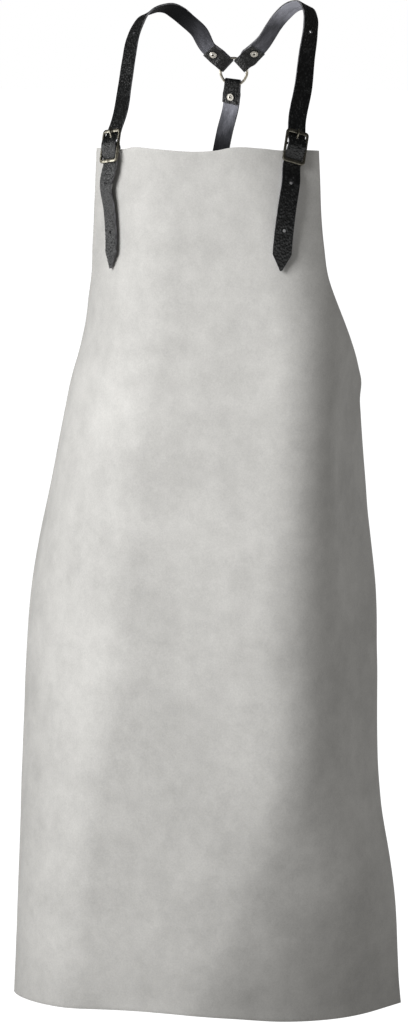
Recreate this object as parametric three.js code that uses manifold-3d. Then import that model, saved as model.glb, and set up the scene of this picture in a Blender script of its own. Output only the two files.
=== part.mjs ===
// A bib apron of pale split leather on a black strap harness, in the form it has on a wearer.
// Millimetres. X runs to the viewer's right of the front, Y to the wearer's back, Z up.
// The origin lies midway between the two shoulder crests of the straps.
import * as THREE from "three";
import { mergeVertices } from "three/addons/utils/BufferGeometryUtils.js";
import Module from "manifold-3d";

const wasm = await Module();
wasm.setup();

// Leather thicknesses, strap widths and the clearance between pieces
const BODY_LEATHER = 2;
const STRAP_LEATHER = 2.2;
const STRAP_WIDTH = 22;
const CHAPE_LEATHER = 1.6;
const CHAPE_WIDTH = 17;
const GAP = 0.3;

// Apron body: height of the bib's top edge, grid cells across and down
const BIB_TOP = -175;
const CELLS_ACROSS = 26;
const CELLS_DOWN = 44;

// Harness hardware
const RING_RADIUS = 16.2;
const RING_WIRE = 1.6;
const RING_CENTRE = new THREE.Vector3(0, 61, -88);
const RING_LEAN = 9;
const LOOP_WIDTH = 18.8;
const LOOP_SLACK = 0.25;
const LOOP_ROWS = [1, 2, 3, 19, 20, 21, 22];
const WAIST_ROWS = [26, 28, 44, 46];
const RIVET_SHANK = 1.6;
const RIVET_HEAD = 4.6;
const BUCKLE_WIDTH = 28.4;
const BUCKLE_HEIGHT = 40.4;
const BUCKLE_CORNER = 4.5;
const BUCKLE_SIDE = 2.8;
const BUCKLE_END = 4.4;
const BUCKLE_PLATE = 3;
const BUCKLE_BAR = 1.5;
const FRAME_DROP = 2.3;
const FRAME_STAND = 1.5;
const TONGUE_WIRE = 1.1;
const HOLE_RADIUS = 2;
const HOLES = [-155, 57, 114];
const TIP_LENGTH = 19;

// The straps meet the bib this far from its centre line, with the buckle bar just above the edge
const STRAP_PLACE = 114;
const BAR_RISE = 5.2;
const BAR_STAND = 2.6;
const RIVET_DROP = 31;

// Half the width of the flat pattern at each drop below the bib's top
const PATTERN_EDGE = [
  { at: 0, half: 147 },
  { at: 58, half: 151 },
  { at: 110, half: 156 },
  { at: 150, half: 164 },
  { at: 186, half: 186 },
  { at: 221, half: 217 },
  { at: 256, half: 255 },
  { at: 276, half: 278 },
  { at: 298, half: 283 },
  { at: 312, half: 291 },
  { at: 600, half: 291 },
  { at: 1000, half: 290 },
];

// The centre line: how far it swings sideways and how deep it lies, down the apron
const CENTRE_LINE = [
  { at: 0, swing: 0, depth: -150 },
  { at: 110, swing: 0, depth: -158 },
  { at: 280, swing: 0, depth: -170 },
  { at: 420, swing: 0, depth: -178 },
  { at: 560, swing: 0, depth: -184 },
  { at: 720, swing: 0, depth: -184 },
  { at: 860, swing: 0, depth: -178 },
  { at: 1000, swing: 0, depth: -168 },
];

// Each side of a level section: a flat front, a crease that turns it, a rounder flank, then straight on.
// Radii in millimetres; turns in degrees, the flank's turn counted from the front.
const LEFT_SIDE = [
  { at: 0, flat: 25, crease: 120, creaseTurn: 22, flank: 190, flankTurn: 52 },
  { at: 110, flat: 24, crease: 100, creaseTurn: 24, flank: 230, flankTurn: 46.5 },
  { at: 200, flat: 32, crease: 90, creaseTurn: 26, flank: 165, flankTurn: 69 },
  { at: 285, flat: 46, crease: 80, creaseTurn: 28, flank: 194, flankTurn: 86 },
  { at: 420, flat: 60, crease: 80, creaseTurn: 28, flank: 225, flankTurn: 77 },
  { at: 560, flat: 74, crease: 80, creaseTurn: 28, flank: 262, flankTurn: 67 },
  { at: 720, flat: 96, crease: 75, creaseTurn: 28, flank: 227, flankTurn: 68 },
  { at: 860, flat: 120, crease: 70, creaseTurn: 28, flank: 178, flankTurn: 72 },
  { at: 1000, flat: 136, crease: 70, creaseTurn: 28, flank: 156, flankTurn: 72 },
];
const RIGHT_SIDE = [
  { at: 0, flat: 25, crease: 120, creaseTurn: 22, flank: 190, flankTurn: 50 },
  { at: 110, flat: 76, crease: 75, creaseTurn: 40, flank: 110, flankTurn: 58 },
  { at: 200, flat: 88, crease: 75, creaseTurn: 50, flank: 75, flankTurn: 73 },
  { at: 285, flat: 94, crease: 66, creaseTurn: 58, flank: 65, flankTurn: 83 },
  { at: 420, flat: 86, crease: 70, creaseTurn: 56, flank: 80, flankTurn: 82.5 },
  { at: 560, flat: 80, crease: 80, creaseTurn: 54, flank: 140, flankTurn: 74 },
  { at: 720, flat: 88, crease: 75, creaseTurn: 48, flank: 110, flankTurn: 73 },
  { at: 860, flat: 46, crease: 130, creaseTurn: 14, flank: 175, flankTurn: 76 },
  { at: 1000, flat: -6, crease: 160, creaseTurn: 17, flank: 260, flankTurn: 61 },
];

// Soft folds laid on the sheet: a ridge from one place to another, its rise and half its breadth
const FOLDS = [
  { fromAcross: 96, fromDrop: 560, toAcross: -20, toDrop: 1010, rise: 4, breadth: 55 },
];

// The cuts of the bib's top edge and of the hem: the drop at each place across, left to right
const TOP_CUT = [
  { at: -1, drop: -0.3 },
  { at: -0.88, drop: 0 },
  { at: -0.68, drop: 0 },
  { at: -0.56, drop: -2.6 },
  { at: -0.42, drop: -1.8 },
  { at: -0.3, drop: -0.5 },
  { at: 0, drop: 1.5 },
  { at: 0.14, drop: 0 },
  { at: 0.26, drop: -3.4 },
  { at: 0.5, drop: -2.4 },
  { at: 0.66, drop: 0 },
  { at: 0.86, drop: 0 },
  { at: 1, drop: 1 },
];
const HEM_CUT = [
  { at: -1, drop: 1020 },
  { at: -0.8, drop: 1017 },
  { at: -0.5, drop: 1014.5 },
  { at: 0, drop: 1016.5 },
  { at: 0.15, drop: 1020.5 },
  { at: 0.35, drop: 1027.5 },
  { at: 0.55, drop: 1031.5 },
  { at: 0.77, drop: 1033 },
  { at: 1, drop: 1031 },
];

// Loops round the ring: angle from upright, lean to the front, twist at the tail, tail's end, rivet
const LOOPS = {
  right: { angle: 48, lean: 12, twist: 32, tail: 43, rivet: 36 },
  left: { angle: -46, lean: 12, twist: -25, tail: 40, rivet: 32.4 },
  lower: { angle: 187, lean: 0, twist: 20, tail: 39, rivet: 31 },
};

// Shoulder strap runs from the back ring over the shoulder to the buckle: the strap's middle
// and the direction of its width
const RIGHT_RUN = [
  { x: 43, y: 41.5, z: -48.5, wx: 0.67, wy: 0.7, wz: -0.22 },
  { x: 54, y: 33, z: -34, wx: 0.66, wy: 0.71, wz: -0.2 },
  { x: 65.5, y: 24, z: -21.5, wx: 0.66, wy: 0.68, wz: -0.3 },
  { x: 82, y: 12.5, z: -10, wx: 0.62, wy: 0.69, wz: -0.36 },
  { x: 98, y: 1.5, z: -9, wx: 0.68, wy: 0.6, wz: -0.42 },
  { x: 105.5, y: -8.5, z: -20, wx: 0.66, wy: 0.56, wz: -0.5 },
  { x: 108, y: -22, z: -36.5, wx: 0.62, wy: 0.55, wz: -0.55 },
  { x: 107.8, y: -45, z: -68.5, wx: 0.72, wy: 0.51, wz: -0.48 },
  { x: 108.5, y: -69, z: -101, wx: 0.82, wy: 0.47, wz: -0.34 },
];
const LEFT_RUN = [
  { x: -38.5, y: 36, z: -39, wx: 0.78, wy: -0.38, wz: 0.5 },
  { x: -50, y: 26, z: -27, wx: 0.78, wy: -0.38, wz: 0.5 },
  { x: -59, y: 16, z: -18, wx: 0.78, wy: -0.36, wz: 0.52 },
  { x: -68, y: 7.5, z: -12.5, wx: 0.58, wy: -0.64, wz: 0.5 },
  { x: -77, y: 1, z: -12.5, wx: 0.4, wy: -0.85, wz: 0.36 },
  { x: -87, y: -5, z: -16.5, wx: 0.42, wy: -0.86, wz: 0.28 },
  { x: -94.5, y: -10, z: -21.5, wx: 0.58, wy: -0.8, wz: 0.12 },
  { x: -100.5, y: -17, z: -32.5, wx: 0.73, wy: -0.67, wz: 0.13 },
  { x: -103.8, y: -25, z: -44, wx: 0.8, wy: -0.53, wz: 0.28 },
  { x: -105, y: -45, z: -70, wx: 0.82, wy: -0.48, wz: 0.31 },
  { x: -105, y: -68, z: -102, wx: 0.83, wy: -0.46, wz: 0.31 },
];

// Free ends below the buckles: how far down the bib, sideways shift, lift off the leather and roll
const RIGHT_END = [
  { drop: 36, shift: -7, lift: 6.5, roll: 0 },
  { drop: 66, shift: -11.5, lift: 8, roll: 0 },
  { drop: 106, shift: -14.5, lift: 6.5, roll: 0 },
  { drop: 138, shift: -15.5, lift: 4.5, roll: 0 },
];
const LEFT_END = [
  { drop: 40, shift: 5, lift: 7, roll: -6 },
  { drop: 72, shift: 2.5, lift: 4, roll: -8 },
  { drop: 104, shift: 0.5, lift: 3.2, roll: -8 },
  { drop: 139, shift: 1.5, lift: 3.2, roll: -8 },
];

// The strap's way through a buckle: along the buckle and off its plane, top to bottom
const WEAVE = [
  { along: 25, off: -4.4 },
  { along: 21, off: -3.2 },
  { along: 17.5, off: -2.5 },
  { along: 14.2, off: -1.8 },
  { along: 10, off: 0 },
  { along: 5.2, off: 3.4 },
  { along: 0, off: 5 },
  { along: -5.2, off: 4 },
  { along: -11, off: 1.6 },
  { along: -15.2, off: -0.5 },
  { along: -18.4, off: -1.8 },
  { along: -22.5, off: -2.2 },
];
const TONGUE_WAY = [
  { along: 2.4, off: 1.2 },
  { along: 7, off: 1.1 },
  { along: 11, off: 3.4 },
  { along: 13.2, off: 4.4 },
  { along: 16.8, off: 4.5 },
  { along: 19.6, off: 4.1 },
];

// Back strap from the ring to the waist, and the waist strap round the back from corner to corner
const BACK_RUN = [
  { x: -12.5, y: 69, z: -160, wx: -0.94, wy: 0.34 },
  { x: -35, y: 68, z: -290, wx: -0.98, wy: 0.17 },
];
const WAIST_HEIGHT = -466;
const WAIST_LOOP = -60;
const WAIST_LAP = 48;
const WAIST_RUN = [
  { x: 150, y: 28 },
  { x: 112, y: 48 },
  { x: 60, y: 56 },
  { x: 0, y: 58 },
];

const X = new THREE.Vector3(1, 0, 0);
const Y = new THREE.Vector3(0, 1, 0);
const Z = new THREE.Vector3(0, 0, 1);
const RAD = Math.PI / 180;

// A smooth curve through a table's rows, every column at once
function slopeAt(rows, i, key) {
  const back = rows[Math.max(i - 1, 0)];
  const here = rows[i];
  const next = rows[Math.min(i + 1, rows.length - 1)];
  const before = here.at - back.at;
  const after = next.at - here.at;
  const inSlope = before > 0 ? (here[key] - back[key]) / before : (next[key] - here[key]) / after;
  const outSlope = after > 0 ? (next[key] - here[key]) / after : inSlope;
  return (before * outSlope + after * inSlope) / (before + after);
}

function smoothAt(rows, at) {
  let i = 0;
  while (i < rows.length - 2 && at > rows[i + 1].at) {
    i += 1;
  }
  const span = rows[i + 1].at - rows[i].at;
  const u = (at - rows[i].at) / span;
  const out = {};
  for (const key of Object.keys(rows[i])) {
    const a = rows[i][key];
    const b = rows[i + 1][key];
    const ma = slopeAt(rows, i, key) * span;
    const mb = slopeAt(rows, i + 1, key) * span;
    const cubic = 2 * a - 2 * b + ma + mb;
    const square = 3 * b - 3 * a - 2 * ma - mb;
    out[key] = ((cubic * u + square) * u + ma) * u + a;
  }
  return out;
}

// How far across and back one side of a section reaches at a length along the leather
function sideReach(side, length) {
  const creaseTurn = side.creaseTurn * RAD;
  const flat = Math.min(length, side.flat);
  const crease = Math.min(Math.max(length - side.flat, 0), side.crease * creaseTurn) / side.crease;
  const afterCrease = length - side.flat - side.crease * creaseTurn;
  const flankSpan = side.flankTurn * RAD - creaseTurn;
  const flank = Math.min(Math.max(afterCrease, 0), side.flank * flankSpan) / side.flank;
  const straight = Math.max(afterCrease - side.flank * flankSpan, 0);
  const turn = crease + flank;
  const across = flat + side.crease * Math.sin(crease)
    + side.flank * (Math.sin(turn) - Math.sin(crease)) + straight * Math.cos(turn);
  const back = side.crease * (1 - Math.cos(crease))
    + side.flank * (Math.cos(crease) - Math.cos(turn)) + straight * Math.sin(turn);
  return { across, back, turn };
}

function foldRise(across, drop) {
  let rise = 0;
  for (const fold of FOLDS) {
    const runAcross = fold.toAcross - fold.fromAcross;
    const runDrop = fold.toDrop - fold.fromDrop;
    const run = Math.hypot(runAcross, runDrop);
    const along = ((across - fold.fromAcross) * runAcross + (drop - fold.fromDrop) * runDrop) / run;
    const aside = ((across - fold.fromAcross) * runDrop - (drop - fold.fromDrop) * runAcross) / run;
    const fade = THREE.MathUtils.smoothstep(along, 0, 0.6 * run);
    rise += fold.rise * fade * Math.exp(-((aside / fold.breadth) ** 2));
  }
  return rise;
}

// A place on the apron's outer face, by the length across from the centre line and the drop
function apronPoint(across, drop) {
  const centre = smoothAt(CENTRE_LINE, drop);
  const right = across >= 0;
  const side = smoothAt(right ? RIGHT_SIDE : LEFT_SIDE, drop);
  const reach = sideReach(side, Math.abs(across));
  const hand = right ? 1 : -1;
  const rise = foldRise(across, drop);
  return new THREE.Vector3(
    centre.swing + hand * (reach.across + rise * Math.sin(reach.turn)),
    centre.depth + reach.back - rise * Math.cos(reach.turn),
    BIB_TOP - drop,
  );
}

function apronFrame(across, drop) {
  const step = 0.5;
  const place = apronPoint(across, drop);
  const side = apronPoint(across + step, drop).sub(apronPoint(across - step, drop)).normalize();
  const down = apronPoint(across, drop + step).sub(apronPoint(across, drop - step));
  const out = new THREE.Vector3().crossVectors(down, side).normalize();
  const up = new THREE.Vector3().crossVectors(out, side).normalize();
  return { place, side, up, out };
}

// Closed sheet from a grid of outer places, thickened inward
function sheetGeometry(frames, thickness) {
  const rows = frames.length;
  const columns = frames[0].length;
  const position = [];
  for (const inward of [0, thickness]) {
    for (const row of frames) {
      for (const f of row) {
        position.push(...f.place.clone().addScaledVector(f.out, -inward).toArray());
      }
    }
  }
  const id = (layer, j, i) => layer * rows * columns + j * columns + i;
  const index = [];
  const quad = (a, b, c, d) => index.push(a, b, c, a, c, d);
  for (let j = 0; j + 1 < rows; j += 1) {
    for (let i = 0; i + 1 < columns; i += 1) {
      quad(id(0, j, i), id(0, j + 1, i), id(0, j + 1, i + 1), id(0, j, i + 1));
      quad(id(1, j, i), id(1, j, i + 1), id(1, j + 1, i + 1), id(1, j + 1, i));
    }
  }
  for (let i = 0; i + 1 < columns; i += 1) {
    quad(id(0, 0, i), id(0, 0, i + 1), id(1, 0, i + 1), id(1, 0, i));
    quad(id(0, rows - 1, i + 1), id(0, rows - 1, i), id(1, rows - 1, i), id(1, rows - 1, i + 1));
  }
  for (let j = 0; j + 1 < rows; j += 1) {
    quad(id(0, j + 1, 0), id(0, j, 0), id(1, j, 0), id(1, j + 1, 0));
    quad(id(0, j, columns - 1), id(0, j + 1, columns - 1), id(1, j + 1, columns - 1), id(1, j, columns - 1));
  }
  const geometry = new THREE.BufferGeometry();
  geometry.setAttribute("position", new THREE.Float32BufferAttribute(position, 3));
  geometry.setIndex(index);
  return geometry;
}

function apronGeometry() {
  const frames = [];
  for (let j = 0; j <= CELLS_DOWN; j += 1) {
    const row = [];
    for (let i = 0; i <= CELLS_ACROSS; i += 1) {
      const at = (2 * i) / CELLS_ACROSS - 1;
      const top = smoothAt(TOP_CUT, at).drop;
      const drop = top + ((smoothAt(HEM_CUT, at).drop - top) * j) / CELLS_DOWN;
      row.push(apronFrame(at * smoothAt(PATTERN_EDGE, drop).half, drop));
    }
    frames.push(row);
  }
  return sheetGeometry(frames, BODY_LEATHER);
}

// A strap's path: stations with the strap's middle and width direction, spaced by chord length
function strapPath(stations) {
  const rows = [];
  let at = 0;
  for (let i = 0; i < stations.length; i += 1) {
    const { p, w } = stations[i];
    if (i > 0) {
      at += p.distanceTo(stations[i - 1].p);
    }
    rows.push({ at, x: p.x, y: p.y, z: p.z, wx: w.x, wy: w.y, wz: w.z });
  }
  return rows;
}

function strapFrame(path, at) {
  const last = path[path.length - 1].at;
  const before = smoothAt(path, Math.max(at - 0.2, 0));
  const after = smoothAt(path, Math.min(at + 0.2, last));
  const here = smoothAt(path, at);
  const p = new THREE.Vector3(here.x, here.y, here.z);
  const t = new THREE.Vector3(after.x - before.x, after.y - before.y, after.z - before.z).normalize();
  const w = new THREE.Vector3(here.wx, here.wy, here.wz);
  w.addScaledVector(t, -w.dot(t)).normalize();
  const n = new THREE.Vector3().crossVectors(t, w);
  return { at, p, t, w, n };
}

// Samples dense in the bends and sparse on the straights
function strapFrames(path, marks, fine) {
  const last = path[path.length - 1].at;
  const maxTurn = Math.cos(fine * RAD);
  const maxStep = 20;
  const kept = [strapFrame(path, 0)];
  let previous = kept[0];
  for (let at = 0.5; at < last; at += 0.5) {
    const frame = strapFrame(path, at);
    const from = kept[kept.length - 1];
    const turned = frame.t.dot(from.t) < maxTurn || frame.w.dot(from.w) < maxTurn;
    const marked = marks.some((mark) => Math.abs(mark - at) < 0.26);
    if ((turned || at - from.at > maxStep || marked) && previous !== from) {
      kept.push(marked ? frame : previous);
    }
    previous = frame;
  }
  kept.push(strapFrame(path, last));
  return kept;
}

// The strap as a solid; rows of the path named in keep, at rivets, always get a sample
function strapGeometry(path, width, leather, tip, fine, keep = []) {
  const last = path[path.length - 1].at;
  const marks = keep.map((row) => path[row].at);
  if (tip > 0) {
    marks.push(last - tip);
  }
  const frames = strapFrames(path, marks, fine);
  const position = [];
  for (const f of frames) {
    const left = last - f.at;
    const far = f.p.distanceTo(RING_CENTRE);
    const neck = 1 - THREE.MathUtils.smoothstep(far, RING_RADIUS + 4, RING_RADIUS + 12);
    const full = width / 2 - (neck * (STRAP_WIDTH - LOOP_WIDTH)) / 2;
    const half = tip > 0 && left < tip ? 1 + ((full - 1) * left) / tip : full;
    for (const [a, b] of [[-1, -1], [1, -1], [1, 1], [-1, 1]]) {
      position.push(...f.p.clone().addScaledVector(f.w, a * half)
        .addScaledVector(f.n, (b * leather) / 2).toArray());
    }
  }
  const index = [];
  const quad = (a, b, c, d) => index.push(a, b, c, a, c, d);
  for (let k = 0; k + 1 < frames.length; k += 1) {
    for (let c = 0; c < 4; c += 1) {
      const d = (c + 1) % 4;
      quad(4 * k + c, 4 * k + d, 4 * k + 4 + d, 4 * k + 4 + c);
    }
  }
  const end = 4 * (frames.length - 1);
  quad(3, 2, 1, 0);
  quad(end, end + 1, end + 2, end + 3);
  const geometry = new THREE.BufferGeometry();
  geometry.setAttribute("position", new THREE.Float32BufferAttribute(position, 3));
  geometry.setIndex(index);
  return geometry;
}

// Solids for cutting and joining
function solidOf(geometry) {
  const bare = new THREE.BufferGeometry();
  bare.setAttribute("position", geometry.getAttribute("position"));
  bare.setIndex(geometry.getIndex());
  const merged = mergeVertices(bare, 1e-4);
  const vertProperties = Float32Array.from(merged.getAttribute("position").array);
  const triVerts = Uint32Array.from(merged.getIndex().array);
  return new wasm.Manifold(new wasm.Mesh({ numProp: 3, vertProperties, triVerts }));
}

function geometryOf(solid) {
  const mesh = solid.getMesh();
  const geometry = new THREE.BufferGeometry();
  geometry.setAttribute("position", new THREE.BufferAttribute(Float32Array.from(mesh.vertProperties), 3));
  geometry.setIndex(new THREE.BufferAttribute(Uint32Array.from(mesh.triVerts), 1));
  return geometry;
}

// A round bar about a point, along a direction
function barSolid(place, direction, radius, length, sides) {
  const geometry = new THREE.CylinderGeometry(radius, radius, length, sides);
  geometry.applyQuaternion(new THREE.Quaternion().setFromUnitVectors(Y, direction));
  geometry.translate(place.x, place.y, place.z);
  return solidOf(geometry);
}

// Hollow rivet: domed cap on the outer side, rolled flange with a blind hole on the inner side
function rivetGeometry(place, outward, grip) {
  const half = grip / 2;
  const profile = [
    [0, -half + 0.6],
    [1, -half + 0.6],
    [1.3, -half - 1],
    [2.1, -half - 1.3],
    [RIVET_HEAD - 0.5, -half - 0.9],
    [RIVET_HEAD - 0.2, -half - GAP],
    [RIVET_SHANK, -half - GAP],
    [RIVET_SHANK, half + GAP],
    [RIVET_HEAD, half + GAP],
    [RIVET_HEAD - 0.3, half + 0.9],
    [RIVET_HEAD * 0.55, half + 1.5],
    [0, half + 1.7],
  ];
  const geometry = new THREE.LatheGeometry(profile.map(([r, h]) => new THREE.Vector2(r, h)), 8);
  geometry.applyQuaternion(new THREE.Quaternion().setFromUnitVectors(Y, outward));
  geometry.translate(place.x, place.y, place.z);
  return geometry;
}

// Back ring
const ringOut = new THREE.Vector3(0, Math.cos(RING_LEAN * RAD), Math.sin(RING_LEAN * RAD));
const ringUp = new THREE.Vector3(0, -Math.sin(RING_LEAN * RAD), Math.cos(RING_LEAN * RAD));

function ringGeometry() {
  const geometry = new THREE.TorusGeometry(RING_RADIUS, RING_WIRE, 6, 26);
  geometry.applyMatrix4(new THREE.Matrix4().makeBasis(X, ringUp, ringOut.clone().negate()));
  geometry.translate(RING_CENTRE.x, RING_CENTRE.y, RING_CENTRE.z);
  return geometry;
}

// A strap's loop on the ring: tail on the wearer's side, round the wire, away on the outer side.
// The strap leans to the front and twists on its way from the wire to the tail's end.
function ringLoop({ angle, lean, twist, tail, rivet }) {
  const radial = ringUp.clone().multiplyScalar(Math.cos(angle * RAD));
  radial.addScaledVector(X, Math.sin(angle * RAD));
  const tangent = new THREE.Vector3().crossVectors(ringOut, radial);
  const leaned = new THREE.Quaternion().setFromAxisAngle(tangent, lean * RAD);
  const away = radial.clone().applyQuaternion(leaned);
  const outward = ringOut.clone().applyQuaternion(leaned);
  const chord = Math.sqrt(RING_RADIUS ** 2 - (LOOP_WIDTH / 2) ** 2);
  const wrap = RING_WIRE + GAP + LOOP_SLACK + STRAP_LEATHER / 2;
  const lap = STRAP_LEATHER / 2 + GAP / 2;
  const station = (far, off) => {
    const spin = twist * RAD * THREE.MathUtils.smoothstep(far, chord, tail);
    const p = RING_CENTRE.clone().addScaledVector(radial, chord).addScaledVector(away, far - chord);
    p.addScaledVector(outward.clone().applyAxisAngle(away, spin), off);
    return { p, w: tangent.clone().applyAxisAngle(away, spin) };
  };
  const reach = [
    [tail, lap],
    [rivet, lap],
    [rivet - 4, lap],
    [rivet - 5.4, lap],
    [rivet - 7, lap + 0.4],
    [rivet - 9, wrap - 0.6],
    [rivet - 11, wrap],
  ];
  const stations = reach.map(([far, off]) => station(far, -off));
  for (let turn = -90; turn <= 90; turn += 22.5) {
    stations.push(station(chord - wrap * Math.cos(turn * RAD), wrap * Math.sin(turn * RAD)));
  }
  for (const [far, off] of reach.reverse()) {
    stations.push(station(far, off));
  }
  const fastened = station(rivet, 0);
  const out = new THREE.Vector3().crossVectors(away, fastened.w);
  return { stations, rivet: fastened.p, out, grip: 2 * STRAP_LEATHER + 3.5 * GAP };
}

// Buckle place and axes on the bib: its own length follows the strap's lean
function buckleFrame(hand, lean, yaw) {
  const bib = apronFrame(hand * STRAP_PLACE, 0);
  const bar = bib.place.clone().addScaledVector(bib.up, BAR_RISE).addScaledVector(bib.out, BAR_STAND);
  const along = lean.clone().normalize();
  const out = bib.out.clone().applyAxisAngle(Z, yaw * RAD);
  out.addScaledVector(along, -out.dot(along)).normalize();
  const width = new THREE.Vector3().crossVectors(along, out);
  const place = (a, o, w = 0) => bar.clone().addScaledVector(along, a)
    .addScaledVector(out, o).addScaledVector(width, w);
  const basis = new THREE.Matrix4().makeBasis(width, along, out).setPosition(bar);
  return { bib, bar, along, out, width, place, basis };
}

function roundedRectangle(path, halfWidth, halfHeight, corner) {
  path.moveTo(halfWidth, -halfHeight + corner);
  path.lineTo(halfWidth, halfHeight - corner);
  path.absarc(halfWidth - corner, halfHeight - corner, corner, 0, Math.PI / 2);
  path.lineTo(-halfWidth + corner, halfHeight);
  path.absarc(-halfWidth + corner, halfHeight - corner, corner, Math.PI / 2, Math.PI);
  path.lineTo(-halfWidth, -halfHeight + corner);
  path.absarc(-halfWidth + corner, -halfHeight + corner, corner, Math.PI, 1.5 * Math.PI);
  path.lineTo(halfWidth - corner, -halfHeight);
  path.absarc(halfWidth - corner, -halfHeight + corner, corner, 1.5 * Math.PI, 2 * Math.PI);
  return path;
}

function buckleFrameGeometry(buckle) {
  const soft = 0.7;
  const halfWidth = BUCKLE_WIDTH / 2 - soft;
  const halfHeight = BUCKLE_HEIGHT / 2 - soft;
  const outline = roundedRectangle(new THREE.Shape(), halfWidth, halfHeight, BUCKLE_CORNER - soft);
  const inner = roundedRectangle(
    new THREE.Path(),
    BUCKLE_WIDTH / 2 - BUCKLE_SIDE + soft,
    BUCKLE_HEIGHT / 2 - BUCKLE_END + soft,
    2,
  );
  outline.holes.push(inner);
  const plate = new THREE.ExtrudeGeometry(outline, {
    depth: BUCKLE_PLATE - 2 * soft,
    bevelThickness: soft,
    bevelSize: soft,
    bevelSegments: 1,
    curveSegments: 2,
  });
  plate.translate(0, -FRAME_DROP, FRAME_STAND - BUCKLE_PLATE / 2 + soft);
  const bar = new THREE.CylinderGeometry(BUCKLE_BAR, BUCKLE_BAR, BUCKLE_WIDTH - BUCKLE_SIDE, 10);
  bar.rotateZ(Math.PI / 2);
  const geometry = geometryOf(solidOf(plate).add(solidOf(bar)));
  geometry.applyMatrix4(buckle.basis);
  return geometry;
}

// Tongue: an eye round the centre bar and a wire over the top bar, drawn thicker to cut its way
function tongueSolid(buckle, wire) {
  const eye = new THREE.TorusGeometry(BUCKLE_BAR + GAP + 0.95, 0.95 + wire - TONGUE_WIRE, 5, 10);
  eye.rotateY(Math.PI / 2);
  const way = new THREE.CatmullRomCurve3(TONGUE_WAY.map((row) => new THREE.Vector3(0, row.along, row.off)));
  const section = new THREE.Shape().absarc(0, 0, wire, 0, 2 * Math.PI);
  const shank = new THREE.ExtrudeGeometry(section, {
    steps: 8,
    curveSegments: 3,
    bevelEnabled: false,
    extrudePath: way,
  });
  return solidOf(eye).add(solidOf(shank)).transform(buckle.basis.toArray());
}

// Chape: a folded strap round the centre bar, both layers down behind the bib, slotted for the tongue
function chapeGeometry(buckle, hand, slant) {
  const { bib } = buckle;
  const first = BODY_LEATHER + 2 * GAP + CHAPE_LEATHER / 2;
  const second = first + CHAPE_LEATHER + GAP;
  const wrap = BUCKLE_BAR + GAP + LOOP_SLACK / 2 + CHAPE_LEATHER / 2;
  const behind = (drop, depth) => {
    const f = apronFrame(hand * (STRAP_PLACE + slant * drop), drop);
    return { p: f.place.clone().addScaledVector(f.out, -depth), w: f.side, f };
  };
  const above = (height, depth) => ({
    p: bib.place.clone().addScaledVector(bib.up, height).addScaledVector(bib.out, -depth),
    w: bib.side,
  });
  const fore = bib.out.clone().addScaledVector(buckle.width, -bib.out.dot(buckle.width)).normalize();
  const rise = new THREE.Vector3().crossVectors(fore, buckle.width);
  const stations = [behind(46, first), behind(24, first), behind(7, first), behind(2, first)];
  stations.push(above(1.2, first - 0.5), above(2.1, 1.3));
  for (let turn = -110; turn <= 115; turn += 37.5) {
    const p = buckle.bar.clone().addScaledVector(fore, wrap * Math.cos(turn * RAD))
      .addScaledVector(rise, wrap * Math.sin(turn * RAD));
    stations.push({ p, w: buckle.width });
  }
  stations.push(above(5.6, 2.8), above(2.6, 5), behind(3, second), behind(8, second));
  stations.push(behind(24, second), behind(46, second));
  const grip = BODY_LEATHER + 2 * GAP + 2 * CHAPE_LEATHER + GAP;
  const seat = behind(RIVET_DROP, grip / 2);
  const hole = barSolid(seat.p, seat.f.out, RIVET_SHANK + GAP, 4 * grip, 8);
  const strap = solidOf(strapGeometry(strapPath(stations), CHAPE_WIDTH, CHAPE_LEATHER, 0, 24));
  const slot = new THREE.BoxGeometry(5.4, 16, 16);
  slot.translate(0, 3, 2);
  slot.applyMatrix4(buckle.basis);
  const geometry = geometryOf(strap.subtract(hole).subtract(solidOf(slot)));
  return { geometry, hole, middle: seat.p, grip, out: seat.f.out };
}

// Shoulder strap: ring loop, run over the shoulder, weave through the buckle, free end
function shoulderPath(loop, run, buckle, hand, freeEnd) {
  const stations = [...loop.stations];
  for (const row of run) {
    const w = new THREE.Vector3(row.wx, row.wy, row.wz);
    stations.push({ p: new THREE.Vector3(row.x, row.y, row.z), w });
  }
  for (const row of WEAVE) {
    stations.push({ p: buckle.place(row.along, row.off), w: buckle.width });
  }
  for (const row of freeEnd) {
    const bib = apronFrame(hand * (STRAP_PLACE + row.shift), row.drop);
    const w = bib.side.applyAxisAngle(bib.up, row.roll * RAD);
    stations.push({ p: bib.place.addScaledVector(bib.out, row.lift), w });
  }
  return strapPath(stations);
}

// The place along a strap's path nearest to a point
function nearestOn(path, point) {
  let best = 0;
  let least = Infinity;
  for (let at = 0; at <= path[path.length - 1].at; at += 0.5) {
    const distance = strapFrame(path, at).p.distanceTo(point);
    if (distance < least) {
      least = distance;
      best = at;
    }
  }
  return best;
}

function shoulderStrap(loop, path, buckle) {
  let strap = solidOf(strapGeometry(path, STRAP_WIDTH, STRAP_LEATHER, TIP_LENGTH, 14, LOOP_ROWS));
  strap = strap.subtract(barSolid(loop.rivet, loop.out, RIVET_SHANK + GAP, 20, 10));
  strap = strap.subtract(tongueSolid(buckle, TONGUE_WIRE + GAP));
  const fastened = nearestOn(path, buckle.place(7.8, 1.4));
  for (const hole of HOLES) {
    const frame = strapFrame(path, fastened + hole);
    strap = strap.subtract(barSolid(frame.p, frame.n, HOLE_RADIUS, 6, 10));
  }
  return geometryOf(strap);
}

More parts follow.
